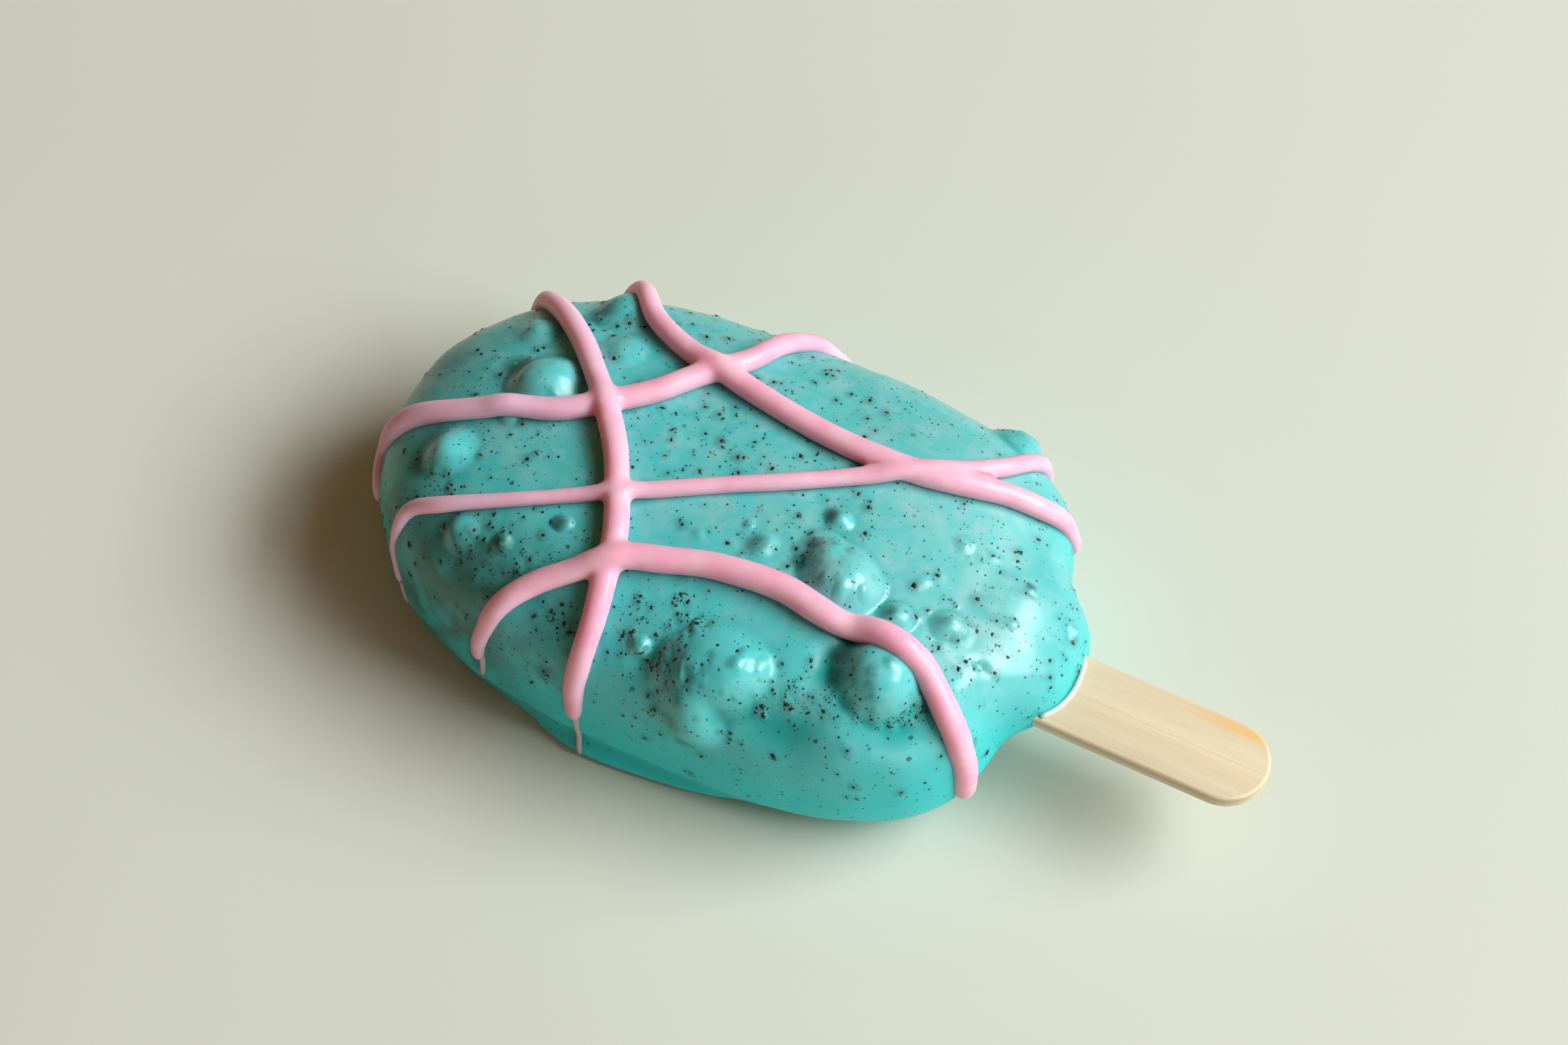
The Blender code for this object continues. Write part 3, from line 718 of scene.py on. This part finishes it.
routes = []
for places in STRANDS.values():
    laid = tube_shape(routes)
    routes.append(strand_route(places, BVHTree.FromBMesh(laid)))
    laid.free()
drizzle_shape = fused(tube_shape(routes))
drizzle_tree = BVHTree.FromBMesh(drizzle_shape)
drizzle_shape.verts.index_update()
drizzle_shape.normal_update()
joined = joined_pairs(drizzle_shape)
places = np.array([v.co[:] for v in drizzle_shape.verts])
even = np.column_stack([spread_out(places[:, axis], joined, HOLLOW_PASSES) for axis in range(3)])
facing = np.array([v.normal[:] for v in drizzle_shape.verts])
inward = ((even - places) * facing).sum(axis=1)
drizzle = finished("drizzle", drizzle_shape)
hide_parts("coated_bar")
keep_numbers(drizzle, "hollow", inward / HOLLOW_DEPTH)
keep_numbers(drizzle, "shaded", facing @ np.array(SHADE_SIDE))
print("The webs are", mm(inward.max()), "mm hollow")

# %% [markdown]
# At their lower ends some strands let a last thread of icing run down the side. The threads
# are so thin that the glaze shows through, so they are a piece of their own with a greyer
# finish. The glaze's edge on the stick is a thin pale rim, made in the same way.

# %% Threads under the strands, and the rim on the stick
TAILS = (
    # as for the strands
    (
        (-4.4, -25.9, 9.5, 0.5), (-4.4, -26.0, 7.5, 0.38), (-4.3, -26.0, 5.0, 0.34),
        (-4.2, -25.8, 2.6, 0.34), (-4.1, -25.6, 1.0, 0.4),
    ),
    ((-16.7, -24.6, 11.0, 0.5), (-16.7, -24.6, 9.0, 0.38), (-16.8, -24.5, 6.4, 0.32)),
    ((-30.3, -19.1, 8.5, 0.4), (-30.0, -19.3, 6.5, 0.28), (-29.8, -19.4, 4.6, 0.36)),
)
RIM = (
    # x and y of each place, in millimetres
    (43.3, 4.6), (43.9, 3.4), (44.2, 1.8), (44.3, 0.2),
    (44.1, -1.4), (43.6, -2.9), (42.8, -4.2), (42.0, -5.1),
)
RIM_RADIUS = 0.32 * MM
STICK_TOP = stick_high.z

tail_routes = [strand_route(places, lift=0.0, plump=0.0) for places in TAILS]
tails = finished("drizzle_tails", tube_shape(tail_routes))
rim_places = [Vector((x * MM, y * MM, STICK_TOP)) for x, y in RIM]
rim_route = [(point, RIM_RADIUS) for point in smooth_route(rim_places)]
rim = finished("glaze_rim", tube_shape([rim_route]))

# %% [markdown]
# ## Crumbs that break the surface
#
# The larger crumbs peek out of the glaze as dark angular chips. A chip is a coarse icosphere,
# turned and squashed by a seeded draw, dented by noise, and sunk until only its top shows.
# Chips under the icing are left out.

# %% Chips of biscuit
CHIP_LEAST = 0.12 * MM
CHIP_CLEARANCE = 0.15 * MM
CHIP_SUNK = 0.4
CHIP_LONG, CHIP_WIDE, CHIP_TALL = (0.7, 1.25), (0.6, 1.0), 0.6
DENT, DENT_LENGTH = 0.4, 0.35 * MM

chip_draw = random.Random(CRUMB_SEED + 1)
chip_shape = bmesh.new()
for place, size in crumbs:
    spot, normal, _, _ = glaze_tree.find_nearest(with_nose_and_lip(place))
    if size < CHIP_LEAST or drizzle_tree.find_nearest(spot)[3] < size + CHIP_CLEARANCE:
        continue
    spin = Matrix.Rotation(chip_draw.uniform(0, math.tau), 4, "Z")
    turn = normal.to_track_quat("Z", "Y").to_matrix().to_4x4() @ spin
    long, wide = chip_draw.uniform(*CHIP_LONG), chip_draw.uniform(*CHIP_WIDE)
    stretch = Matrix.Diagonal((long, wide, CHIP_TALL, 1.0))
    matrix = Matrix.Translation(spot - normal * CHIP_SUNK * size) @ turn @ stretch
    made = bmesh.ops.create_icosphere(chip_shape, subdivisions=1, radius=size, matrix=matrix)
    for vert in made["verts"]:
        vert.co += (vert.co - spot) * noise.noise(vert.co / DENT_LENGTH) * DENT
chips = finished("crumbs", chip_shape)

# %% [markdown]
# ## The stick
#
# A flat stamped stick has half-round ends and edges that tumbling has rounded. A cube is
# scaled to size, its upright edges are bevelled into the round ends, and the rims get a
# finer bevel. It is the solid's own form with more faces.

# %% The stick's shape
STICK_WIDTH = 10 * MM
STICK_THICKNESS = 2 * MM
STICK_EDGE = 0.4 * MM
END_ROUND, END_SEGMENTS = 0.4999, 32
EDGE_SEGMENTS = 5
LEVEL = 0.001 * MM
SHARP_ANGLE = math.radians(40)


def edge_rise(edge):
    """How far up an edge runs."""
    return abs((edge.verts[0].co - edge.verts[1].co).z)


def round_off(shape, edges, offset, segments):
    """Bevel these edges round."""
    bmesh.ops.bevel(
        shape, geom=edges, offset=offset, affect="EDGES", profile=0.5, segments=segments, material=-1
    )


stick_shape = bmesh.new()
bmesh.ops.create_cube(stick_shape, size=1.0)
bmesh.ops.scale(stick_shape, vec=(STICK_LENGTH, STICK_WIDTH, STICK_THICKNESS), verts=stick_shape.verts)
upright = [e for e in stick_shape.edges if edge_rise(e) > STICK_THICKNESS / 2]
round_off(stick_shape, upright, END_ROUND * STICK_WIDTH, END_SEGMENTS)
rims = [e for e in stick_shape.edges if edge_rise(e) < LEVEL]
round_off(stick_shape, rims, STICK_EDGE, EDGE_SEGMENTS)
stick_middle = Vector((STICK_TIP - STICK_LENGTH / 2, STICK_ACROSS, (stick_low.z + stick_high.z) / 2))
bmesh.ops.translate(stick_shape, verts=stick_shape.verts, vec=stick_middle)
stick = finished("stick_wood", stick_shape)
stick.data.set_sharp_from_angle(angle=SHARP_ANGLE)
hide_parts("stick")

# %% [markdown]
# ## Shader maths as plain expressions
#
# A procedural finish is mostly arithmetic on masks. Wiring Math nodes by hand hides it, so
# this small class wraps one output of a node, and Python's own operators add the Math nodes.
# Everything else comes from the one method node(). The three nodes that are needed most have
# short names: fade, mix and noise.

# %% A socket that understands arithmetic
class Signal:
    """One output of a shader node, on which Python's operators add Math nodes."""

    def __init__(self, tree, output=None):
        self.tree = tree
        self.output = output

    def node(self, kind, settings, sockets, output=0):
        """Add a node: its type, its settings, the values or links of its sockets."""
        made = self.tree.nodes.new(kind)
        for name, value in settings.items():
            setattr(made, name, value)
        for name, value in sockets.items():
            if isinstance(value, Signal):
                self.tree.links.new(value.output, made.inputs[name])
            else:
                made.inputs[name].default_value = value
        return Signal(self.tree, made.outputs[output])

    def math(self, operation, *values):
        """Add a Math node that does this with the values."""
        return self.node("ShaderNodeMath", {"operation": operation}, dict(enumerate(values)))

    def __add__(self, other):
        return self.math("ADD", self, other)

    def __sub__(self, other):
        return self.math("SUBTRACT", self, other)

    def __rsub__(self, other):
        return self.math("SUBTRACT", other, self)

    def __mul__(self, other):
        return self.math("MULTIPLY", self, other)

    def __truediv__(self, other):
        return self.math("DIVIDE", self, other)

    def __rtruediv__(self, other):
        return self.math("DIVIDE", other, self)

    __radd__ = __add__
    __rmul__ = __mul__

    def fade(self, low, high):
        """0 at low, 1 at high, and a smooth step between. Either may be the larger."""
        sockets = {"Value": self, "From Min": low, "From Max": high}
        return self.node("ShaderNodeMapRange", {"interpolation_type": "SMOOTHSTEP"}, sockets)

    def mix(self, first, second):
        """A colour between two, by this signal."""
        sockets = {0: self, 6: first, 7: second}
        return self.node("ShaderNodeMix", {"data_type": "RGBA"}, sockets, output=2)

    def noise(self, size, detail=2.0, warp=0.0):
        """Soft noise from 0 to 1 on this vector, with blobs of about that size in metres."""
        sockets = {"Vector": self, "Scale": 1.0 / size, "Detail": detail, "Distortion": warp}
        return self.node("ShaderNodeTexNoise", {}, sockets)


print("The shader class is ready")

# %% [markdown]
# Every finish starts as a Principled material with some constant values and the object's own
# coordinates. The other helpers here link a signal to the shader, read a number that was kept
# on the piece, read one coordinate, fade it between two places, and turn a height into a bump.

# %% Start a finish and build on it
def new_finish(piece, name, **constants):
    """Put a Principled material on a piece: its shader node, and the piece's coordinates."""
    material = bpy.data.materials.new(name)
    material.use_nodes = True
    piece.data.materials.append(material)
    shader = material.node_tree.nodes["Principled BSDF"]
    for socket, value in constants.items():
        shader.inputs[socket.replace("_", " ")].default_value = value
    print(piece.name, "wears", name)
    return shader, Signal(material.node_tree).node("ShaderNodeTexCoord", {}, {}, output="Object")


def feed(shader, socket, signal):
    """Link a signal to one of the shader's sockets."""
    signal.tree.links.new(signal.output, shader.inputs[socket])


def kept(place, name):
    """The number that was kept under this name for each point of the piece."""
    return place.node("ShaderNodeAttribute", {"attribute_name": name}, {}, output="Fac")


def coordinate(place, axis):
    """One coordinate of the place: X, Y or Z."""
    return place.node("ShaderNodeSeparateXYZ", {}, {0: place}, output=axis)


def between(signal, origin, ends):
    """Fade a coordinate from 0 to 1 between two ends, in millimetres from the origin."""
    return signal.fade(*(origin + end * MM for end in ends))


def feed_bump(shader, height, strength, depth):
    """Bend the shader's normal as a relief of this height and depth would."""
    sockets = {"Strength": strength, "Distance": depth, "Height": height}
    feed(shader, "Normal", height.node("ShaderNodeBump", {}, sockets, output="Normal"))


# %% [markdown]
# ## The glaze's finish
#
# The glaze is a soft teal that lets light in a little way, so the subsurface weight carries
# much of its look. In it float specks: a Voronoi pattern gives one dot to each cell, a random
# number per cell leaves some cells empty and makes some dots smaller, and noise crowds them
# in some places. Two sizes are laid over each other.

# %% Specks in the glaze
SPECK_BEND, SPECK_BEND_SIZE = 0.3, 0.25
SPECK_LEAST = 0.35
SPECK_EDGE = 0.55


def specks(place, spacing, radius, share, strength):
    """Dots from 0 to 1, of up to this radius, in this share of cells, and of this strength."""
    jitter = place.noise(SPECK_BEND_SIZE * spacing, detail=1.0)
    bend = {0: jitter, 1: (SPECK_BEND * spacing,) * 3, 2: place}
    bent = place.node("ShaderNodeVectorMath", {"operation": "MULTIPLY_ADD"}, bend)
    voronoi = {"Vector": bent, "Scale": 1.0 / spacing}
    outputs = ("Distance", "Color")
    distance, colour = (place.node("ShaderNodeTexVoronoi", {}, voronoi, output=o) for o in outputs)
    parts = {"Color": colour}
    chance, size = (place.node("ShaderNodeSeparateColor", {}, parts, output=o) for o in ("Red", "Green"))
    reach = (SPECK_LEAST + (1.0 - SPECK_LEAST) * size) * (radius / spacing)
    dot = (distance / reach).fade(1.0, SPECK_EDGE)
    return dot * chance.fade(1.0 - share, 1.02 - share) * strength


# %% [markdown]
# The colour is built in layers over the teal. A pale film lies on the top, more of it in the far
# half and towards the stick: partly the glaze's own milky tone, and partly painted sheen where the
# window light falls. Glaze that pooled is deeper, partly as painted shade. Low down it is painted
# brighter, as light on the near belly, and at the near back a darker teal is painted in as shade.
# The stain that was written with the relief turns the colour dark olive, on real stains and as
# painted shade, and the specks go over everything.

# %% The glaze's colour
TEAL = (0.045, 0.52, 0.53, 1.0)
TEAL_POOL_SHADE = (0.003, 0.36, 0.355, 1.0)
LIT_FOOT_TEAL = (0.02, 0.64, 0.66, 1.0)
MILK_AND_SHEEN = (0.5, 0.6, 0.6, 1.0)
OLIVE_STAIN_AND_SHADE = (0.015, 0.055, 0.042, 1.0)
SPECK = (0.008, 0.03, 0.03, 1.0)
SPECK_COARSE = (0.012, 0.045, 0.038, 1.0)
BACK_SHADE_TEAL = (0.04, 0.14, 0.12, 1.0)
# Where each change begins and is full, in millimetres from the bar's middle
SHEEN_ALONG, SHEEN_ACROSS, SHEEN_UP = (-12, 36), (-17, -4), (10, 22)
BACK_SHADE_ALONG, BACK_SHADE_ACROSS = (-3, -20), (-11, -22)
LIT_FOOT_DOWN = (19, 6)
# Spacing, radius and share of the cells of each size of speck
FINE = (0.8 * MM, 0.22 * MM, 0.75)
COARSE = (1.6 * MM, 0.38 * MM, 0.4)

shader, place = new_finish(
    glaze, "glaze_finish", Subsurface_Weight=0.4, Subsurface_Scale=0.9 * MM,
    Subsurface_Radius=(0.15, 1.0, 0.95), Coat_Roughness=0.2, IOR=1.38,
)
pool_and_shade, stained_and_shaded = kept(place, "pool"), kept(place, "stain_and_shade")
along, across, up = (coordinate(place, axis) for axis in "XYZ")
cloud = place.noise(4 * MM, detail=1.0)
mottle = place.noise(0.8 * MM, detail=3.0)
crowd = place.noise(5 * MM, detail=2.0).fade(0.38, 0.62)
frost = place.noise(1.4 * MM, detail=3.0).fade(0.4, 0.7)
# Painted sheen: the pale film grows towards the stick and the far half, where the window light falls, and
# lies on top only; the noise in it is the glaze's own milky tone.
lit_shoulder = between(along, BAR_PLACE.x, SHEEN_ALONG)
far_sheen_half = between(across, BAR_PLACE.y, SHEEN_ACROSS)
milk_and_sheen = 0.08 + cloud.fade(0.4, 0.75) * 0.16 + frost * 0.16 + lit_shoulder * 0.1
milk_and_sheen = milk_and_sheen * (0.45 + 0.55 * far_sheen_half) * between(up, 0.0, SHEEN_UP) + pool_and_shade.fade(-0.15, -0.9) * 0.15
colour = milk_and_sheen.mix(TEAL, MILK_AND_SHEEN)
# Deeper teal in the hollows: partly thicker glaze, partly painted shade.
colour = (pool_and_shade.fade(0.0, 0.4) * 0.9).mix(colour, TEAL_POOL_SHADE)
# Painted light: the low flank is made brighter and more saturated, standing in for light on the near
# belly.
colour = (between(up, 0.0, LIT_FOOT_DOWN) * 0.9).mix(colour, LIT_FOOT_TEAL)
# Painted shade: a darker teal low on the near back of the bar.
thin = between(along, BAR_PLACE.x, BACK_SHADE_ALONG) * between(across, BAR_PLACE.y, BACK_SHADE_ACROSS)
colour = (thin * (0.25 + 0.55 * cloud.fade(0.3, 0.6))).mix(colour, BACK_SHADE_TEAL)
# Dark olive for the stains, and as painted shade on the shaded flanks of lumps.
colour = (stained_and_shaded * mottle.fade(0.15, 0.5) * 0.9).mix(colour, OLIVE_STAIN_AND_SHADE)
fine = specks(place, *FINE, 0.5 + 0.5 * crowd)
coarse = specks(place, *COARSE, crowd)
colour = (coarse * 0.8).mix(colour, SPECK_COARSE)
feed(shader, "Base Color", fine.mix(colour, SPECK))

# %% [markdown]
# The clear coat is strongest on top and weaker over the stains and the painted shade, and a fine
# bump breaks up the highlights. The rim on the stick is a thin pale tube along the glaze's edge.

# %% The glaze's shine, and the rim's finish
SHINE_UP = (9, 21)
RIM_COOL = (0.5, 0.72, 0.66, 1.0)
RIM_WARM = (0.68, 0.72, 0.6, 1.0)

feed(shader, "Roughness", 0.36 + 0.14 * place.noise(2.5 * MM))
feed(shader, "Coat Weight", between(up, 0.0, SHINE_UP) * (0.55 - 0.4 * stained_and_shaded))
height = place.noise(2.2 * MM) * 0.3 + mottle * 0.2 + coarse * 0.5 + fine * 0.1
feed_bump(shader, height, 0.2, 0.12 * MM)
shader, place = new_finish(
    rim, "rim_finish", Roughness=0.3, Subsurface_Weight=0.4, Subsurface_Scale=0.8 * MM,
    Subsurface_Radius=(0.8, 1.0, 1.0),
)
feed(shader, "Base Color", place.noise(1.5 * MM).mix(RIM_COOL, RIM_WARM))

# %% [markdown]
# ## The icing's finish
#
# The pink icing is denser and smoother than the glaze. Light that enters it comes out warmer,
# so its shaded side turns rose and not grey: the subsurface radius is longest in red. The two
# numbers kept on the strands paint shade: the webs and the side turned from the light a deeper
# rose. The icing is painted paler at the back, as painted light. The threads are thin, dull icing.

# %% The icing's colour and shine
PINK = (0.93, 0.54, 0.66, 1.0)
PINK_ROSE = (0.9, 0.43, 0.58, 1.0)
PINK_PAINTED_LIGHT = (0.95, 0.6, 0.78, 1.0)
SHADE_ROSE = (0.72, 0.12, 0.22, 1.0)
PAINTED_LIGHT_ALONG = (-8, -30)
TAIL_GREY = (0.42, 0.38, 0.38, 1.0)
TAIL_PINK = (0.6, 0.45, 0.47, 1.0)

shader, place = new_finish(
    drizzle, "drizzle_finish", Subsurface_Weight=0.9, Subsurface_Scale=1.8 * MM,
    Subsurface_Radius=(1.0, 0.25, 0.3), Coat_Weight=0.15, Coat_Roughness=0.3, IOR=1.45,
)
icing = place.noise(4 * MM).fade(0.3, 0.7).mix(PINK_ROSE, PINK)
# Painted light: the icing grows paler towards the back of the bar, as if lit more there.
icing = (between(coordinate(place, "X"), BAR_PLACE.x, PAINTED_LIGHT_ALONG) * 0.85).mix(icing, PINK_PAINTED_LIGHT)
# Painted shade: a deeper rose in the webs and on the side turned from the light.
rose_shade = kept(place, "hollow").fade(0.0, 1.0) * 0.7 + kept(place, "shaded").fade(-0.35, 0.7) * 0.36
feed(shader, "Base Color", rose_shade.mix(icing, SHADE_ROSE))
feed(shader, "Roughness", 0.36 + 0.1 * place.noise(2 * MM))
feed_bump(shader, place.noise(1.2 * MM), 0.15, 0.1 * MM)
shader, place = new_finish(
    tails, "tail_finish", Roughness=0.35, Subsurface_Weight=0.3, Subsurface_Scale=1 * MM
)
feed(shader, "Base Color", place.noise(1 * MM).mix(TAIL_GREY, TAIL_PINK))

# %% [markdown]
# ## The crumbs' finish
#
# Biscuit crumbs under a film of glaze are nearly black with a green cast, and shine a little.

# %% The crumbs' colour
CHIP_DARK = (0.003, 0.018, 0.016, 1.0)
CHIP_PALE = (0.018, 0.048, 0.038, 1.0)

shader, place = new_finish(chips, "chip_finish", Coat_Weight=0.25, Coat_Roughness=0.2, IOR=1.35)
feed(shader, "Base Color", place.noise(1.3 * MM).fade(0.4, 0.65).mix(CHIP_DARK, CHIP_PALE))
feed(shader, "Roughness", 0.35 + 0.2 * place.noise(0.3 * MM))

# %% [markdown]
# ## The stick's finish
#
# Birch has a fine, straight grain along the stick: long soft bands and thin darker fibres.
# Stretching the coordinates along X before the noise draws both. A streak of orange heartwood
# runs along the far edge to the tip, and the cut side has a brown line under its rim.

# %% The stick's grain
WOOD_PALE = (0.76, 0.64, 0.46, 1.0)
WOOD_WARM = (0.73, 0.58, 0.39, 1.0)
WOOD_ORANGE = (0.84, 0.52, 0.19, 1.0)
WOOD_BROWN = (0.5, 0.36, 0.22, 1.0)
# Where the streak's two sides and its start fade, in millimetres from the part's middle
STREAK_NEAR, STREAK_FAR, STREAK_START = (2.6, 3.8), (5.0, 4.2), (40.0, 49.0)
STREAK_WAVER = 1.6 * MM
# Where the brown line fades, in millimetres from the stick's top
LINE_TOP, LINE_FOOT = (-0.15, -0.5), (-1.2, -0.8)


def grain(place, along, across, detail=3.0):
    """Noise stretched along the stick, with streaks of about these lengths in metres."""
    scale = (1.0 / along, 1.0 / across, 1.0 / across)
    long = place.node("ShaderNodeVectorMath", {"operation": "MULTIPLY"}, {0: place, 1: scale})
    return long.noise(1.0, detail=detail, warp=0.2)


shader, place = new_finish(stick, "wood_finish", Subsurface_Weight=0.05, Subsurface_Scale=0.6 * MM)
bands = grain(place, 40 * MM, 2.2 * MM)
fibres = grain(place, 9 * MM, 0.25 * MM)
along, across, up = (coordinate(place, axis) for axis in "XYZ")
across += STREAK_WAVER * grain(place, 25 * MM, 4 * MM, detail=1.0) - STREAK_WAVER / 2
streak = between(across, 0.0, STREAK_NEAR) * between(across, 0.0, STREAK_FAR)
streak *= between(along, 0.0, STREAK_START)
cut_line = between(up, STICK_TOP, LINE_TOP) * between(up, STICK_TOP, LINE_FOOT)
wood = bands.fade(0.35, 0.65).mix(WOOD_PALE, WOOD_WARM)
wood = (streak * 0.9).mix(wood, WOOD_ORANGE)
wood = (fibres.fade(0.5, 0.75) * 0.22 + cut_line * 0.5).mix(wood, WOOD_BROWN)
feed(shader, "Base Color", wood)
feed(shader, "Roughness", 0.55 + 0.15 * fibres)
feed_bump(shader, fibres, 0.3, 0.05 * MM)

# %% [markdown]
# ## Floor, light and camera
#
# The floor is plain and pale, and lies a hair under the bar.

# %% The floor
FLOOR_HALF = 1.5
FLOOR_DROP = 0.02 * MM
FLOOR_COOL = (0.66, 0.68, 0.6, 1.0)
FLOOR_WARM = (0.7, 0.71, 0.63, 1.0)

floor_shape = bmesh.new()
bmesh.ops.create_grid(floor_shape, x_segments=1, y_segments=1, size=FLOOR_HALF)
floor = new_object("floor", floor_shape)
floor.location.z = -FLOOR_DROP
shader, place = new_finish(floor, "floor_finish", Roughness=0.5)
feed(shader, "Base Color", place.noise(80 * MM).mix(FLOOR_COOL, FLOOR_WARM))

# %% [markdown]
# Two large soft lights, one over the other, make a tall window beyond the stick. A third, low
# and weak, fills the near side, and a dim warm sky the shade, so that the back flank is dark.

# %% The light
LIGHTS = (
    # degrees round and up, and the power in watts
    ("window", 22, 38, 24.5),
    ("upper_window", 22, 50, 10.0),
    ("fill", -30, 10, 4.5),
)
LIGHT_DISTANCE = 1.5
LIGHT_WIDTH = 1.3
LIGHT_HEIGHT = 0.55
LIGHT_COLOUR = (0.92, 1.0, 1.0)
SKY = (1.0, 0.48, 0.14, 1.0)
SKY_STRENGTH = 0.14

for name, turn, rise, power in LIGHTS:
    lamp = bpy.data.lights.new(name, "AREA")
    lamp.shape = "RECTANGLE"
    lamp.size = LIGHT_WIDTH
    lamp.size_y = LIGHT_HEIGHT
    lamp.energy = power
    lamp.color = LIGHT_COLOUR
    light = new_object(name, lamp)
    light.rotation_euler = (math.radians(90 - rise), 0.0, math.radians(90 + turn))
    light.location = BAR_PLACE + light.rotation_euler.to_matrix() @ Vector((0.0, 0.0, LIGHT_DISTANCE))
    print(name, "hangs", round(light.location.z, 2), "m up")

world = bpy.data.worlds.new("sky")
world.use_nodes = True
sky = world.node_tree.nodes["Background"]
sky.inputs["Color"].default_value = SKY
sky.inputs["Strength"].default_value = SKY_STRENGTH
bpy.context.scene.world = world
bpy.context.scene.view_settings.view_transform = "Standard"

# %% [markdown]
# The camera looks down on the bar with a long lens. Its place is worked out from the point
# that it aims at, its turn round that point, how steeply it looks down, and its distance.

# %% The camera
CAMERA_AIM = Vector((5.67, 5.42, 12.0)) * MM
CAMERA_TURN = math.radians(27.02)
CAMERA_DOWN = math.radians(58.33)
CAMERA_DISTANCE = 461.9 * MM
CAMERA_LENS = 93.63

camera_data = bpy.data.cameras.new("camera")
camera_data.lens = CAMERA_LENS
camera_data.clip_start = 10 * MM
camera = new_object("camera", camera_data)
ahead = Vector((-math.sin(CAMERA_TURN), math.cos(CAMERA_TURN), 0)) * math.cos(CAMERA_DOWN)
ahead.z = -math.sin(CAMERA_DOWN)
camera.location = BAR_PLACE + CAMERA_AIM - ahead * CAMERA_DISTANCE
camera.rotation_euler = (math.pi / 2 - CAMERA_DOWN, 0.0, CAMERA_TURN)
bpy.context.scene.camera = camera
print("The camera is", mm(camera.location.z), "mm up")
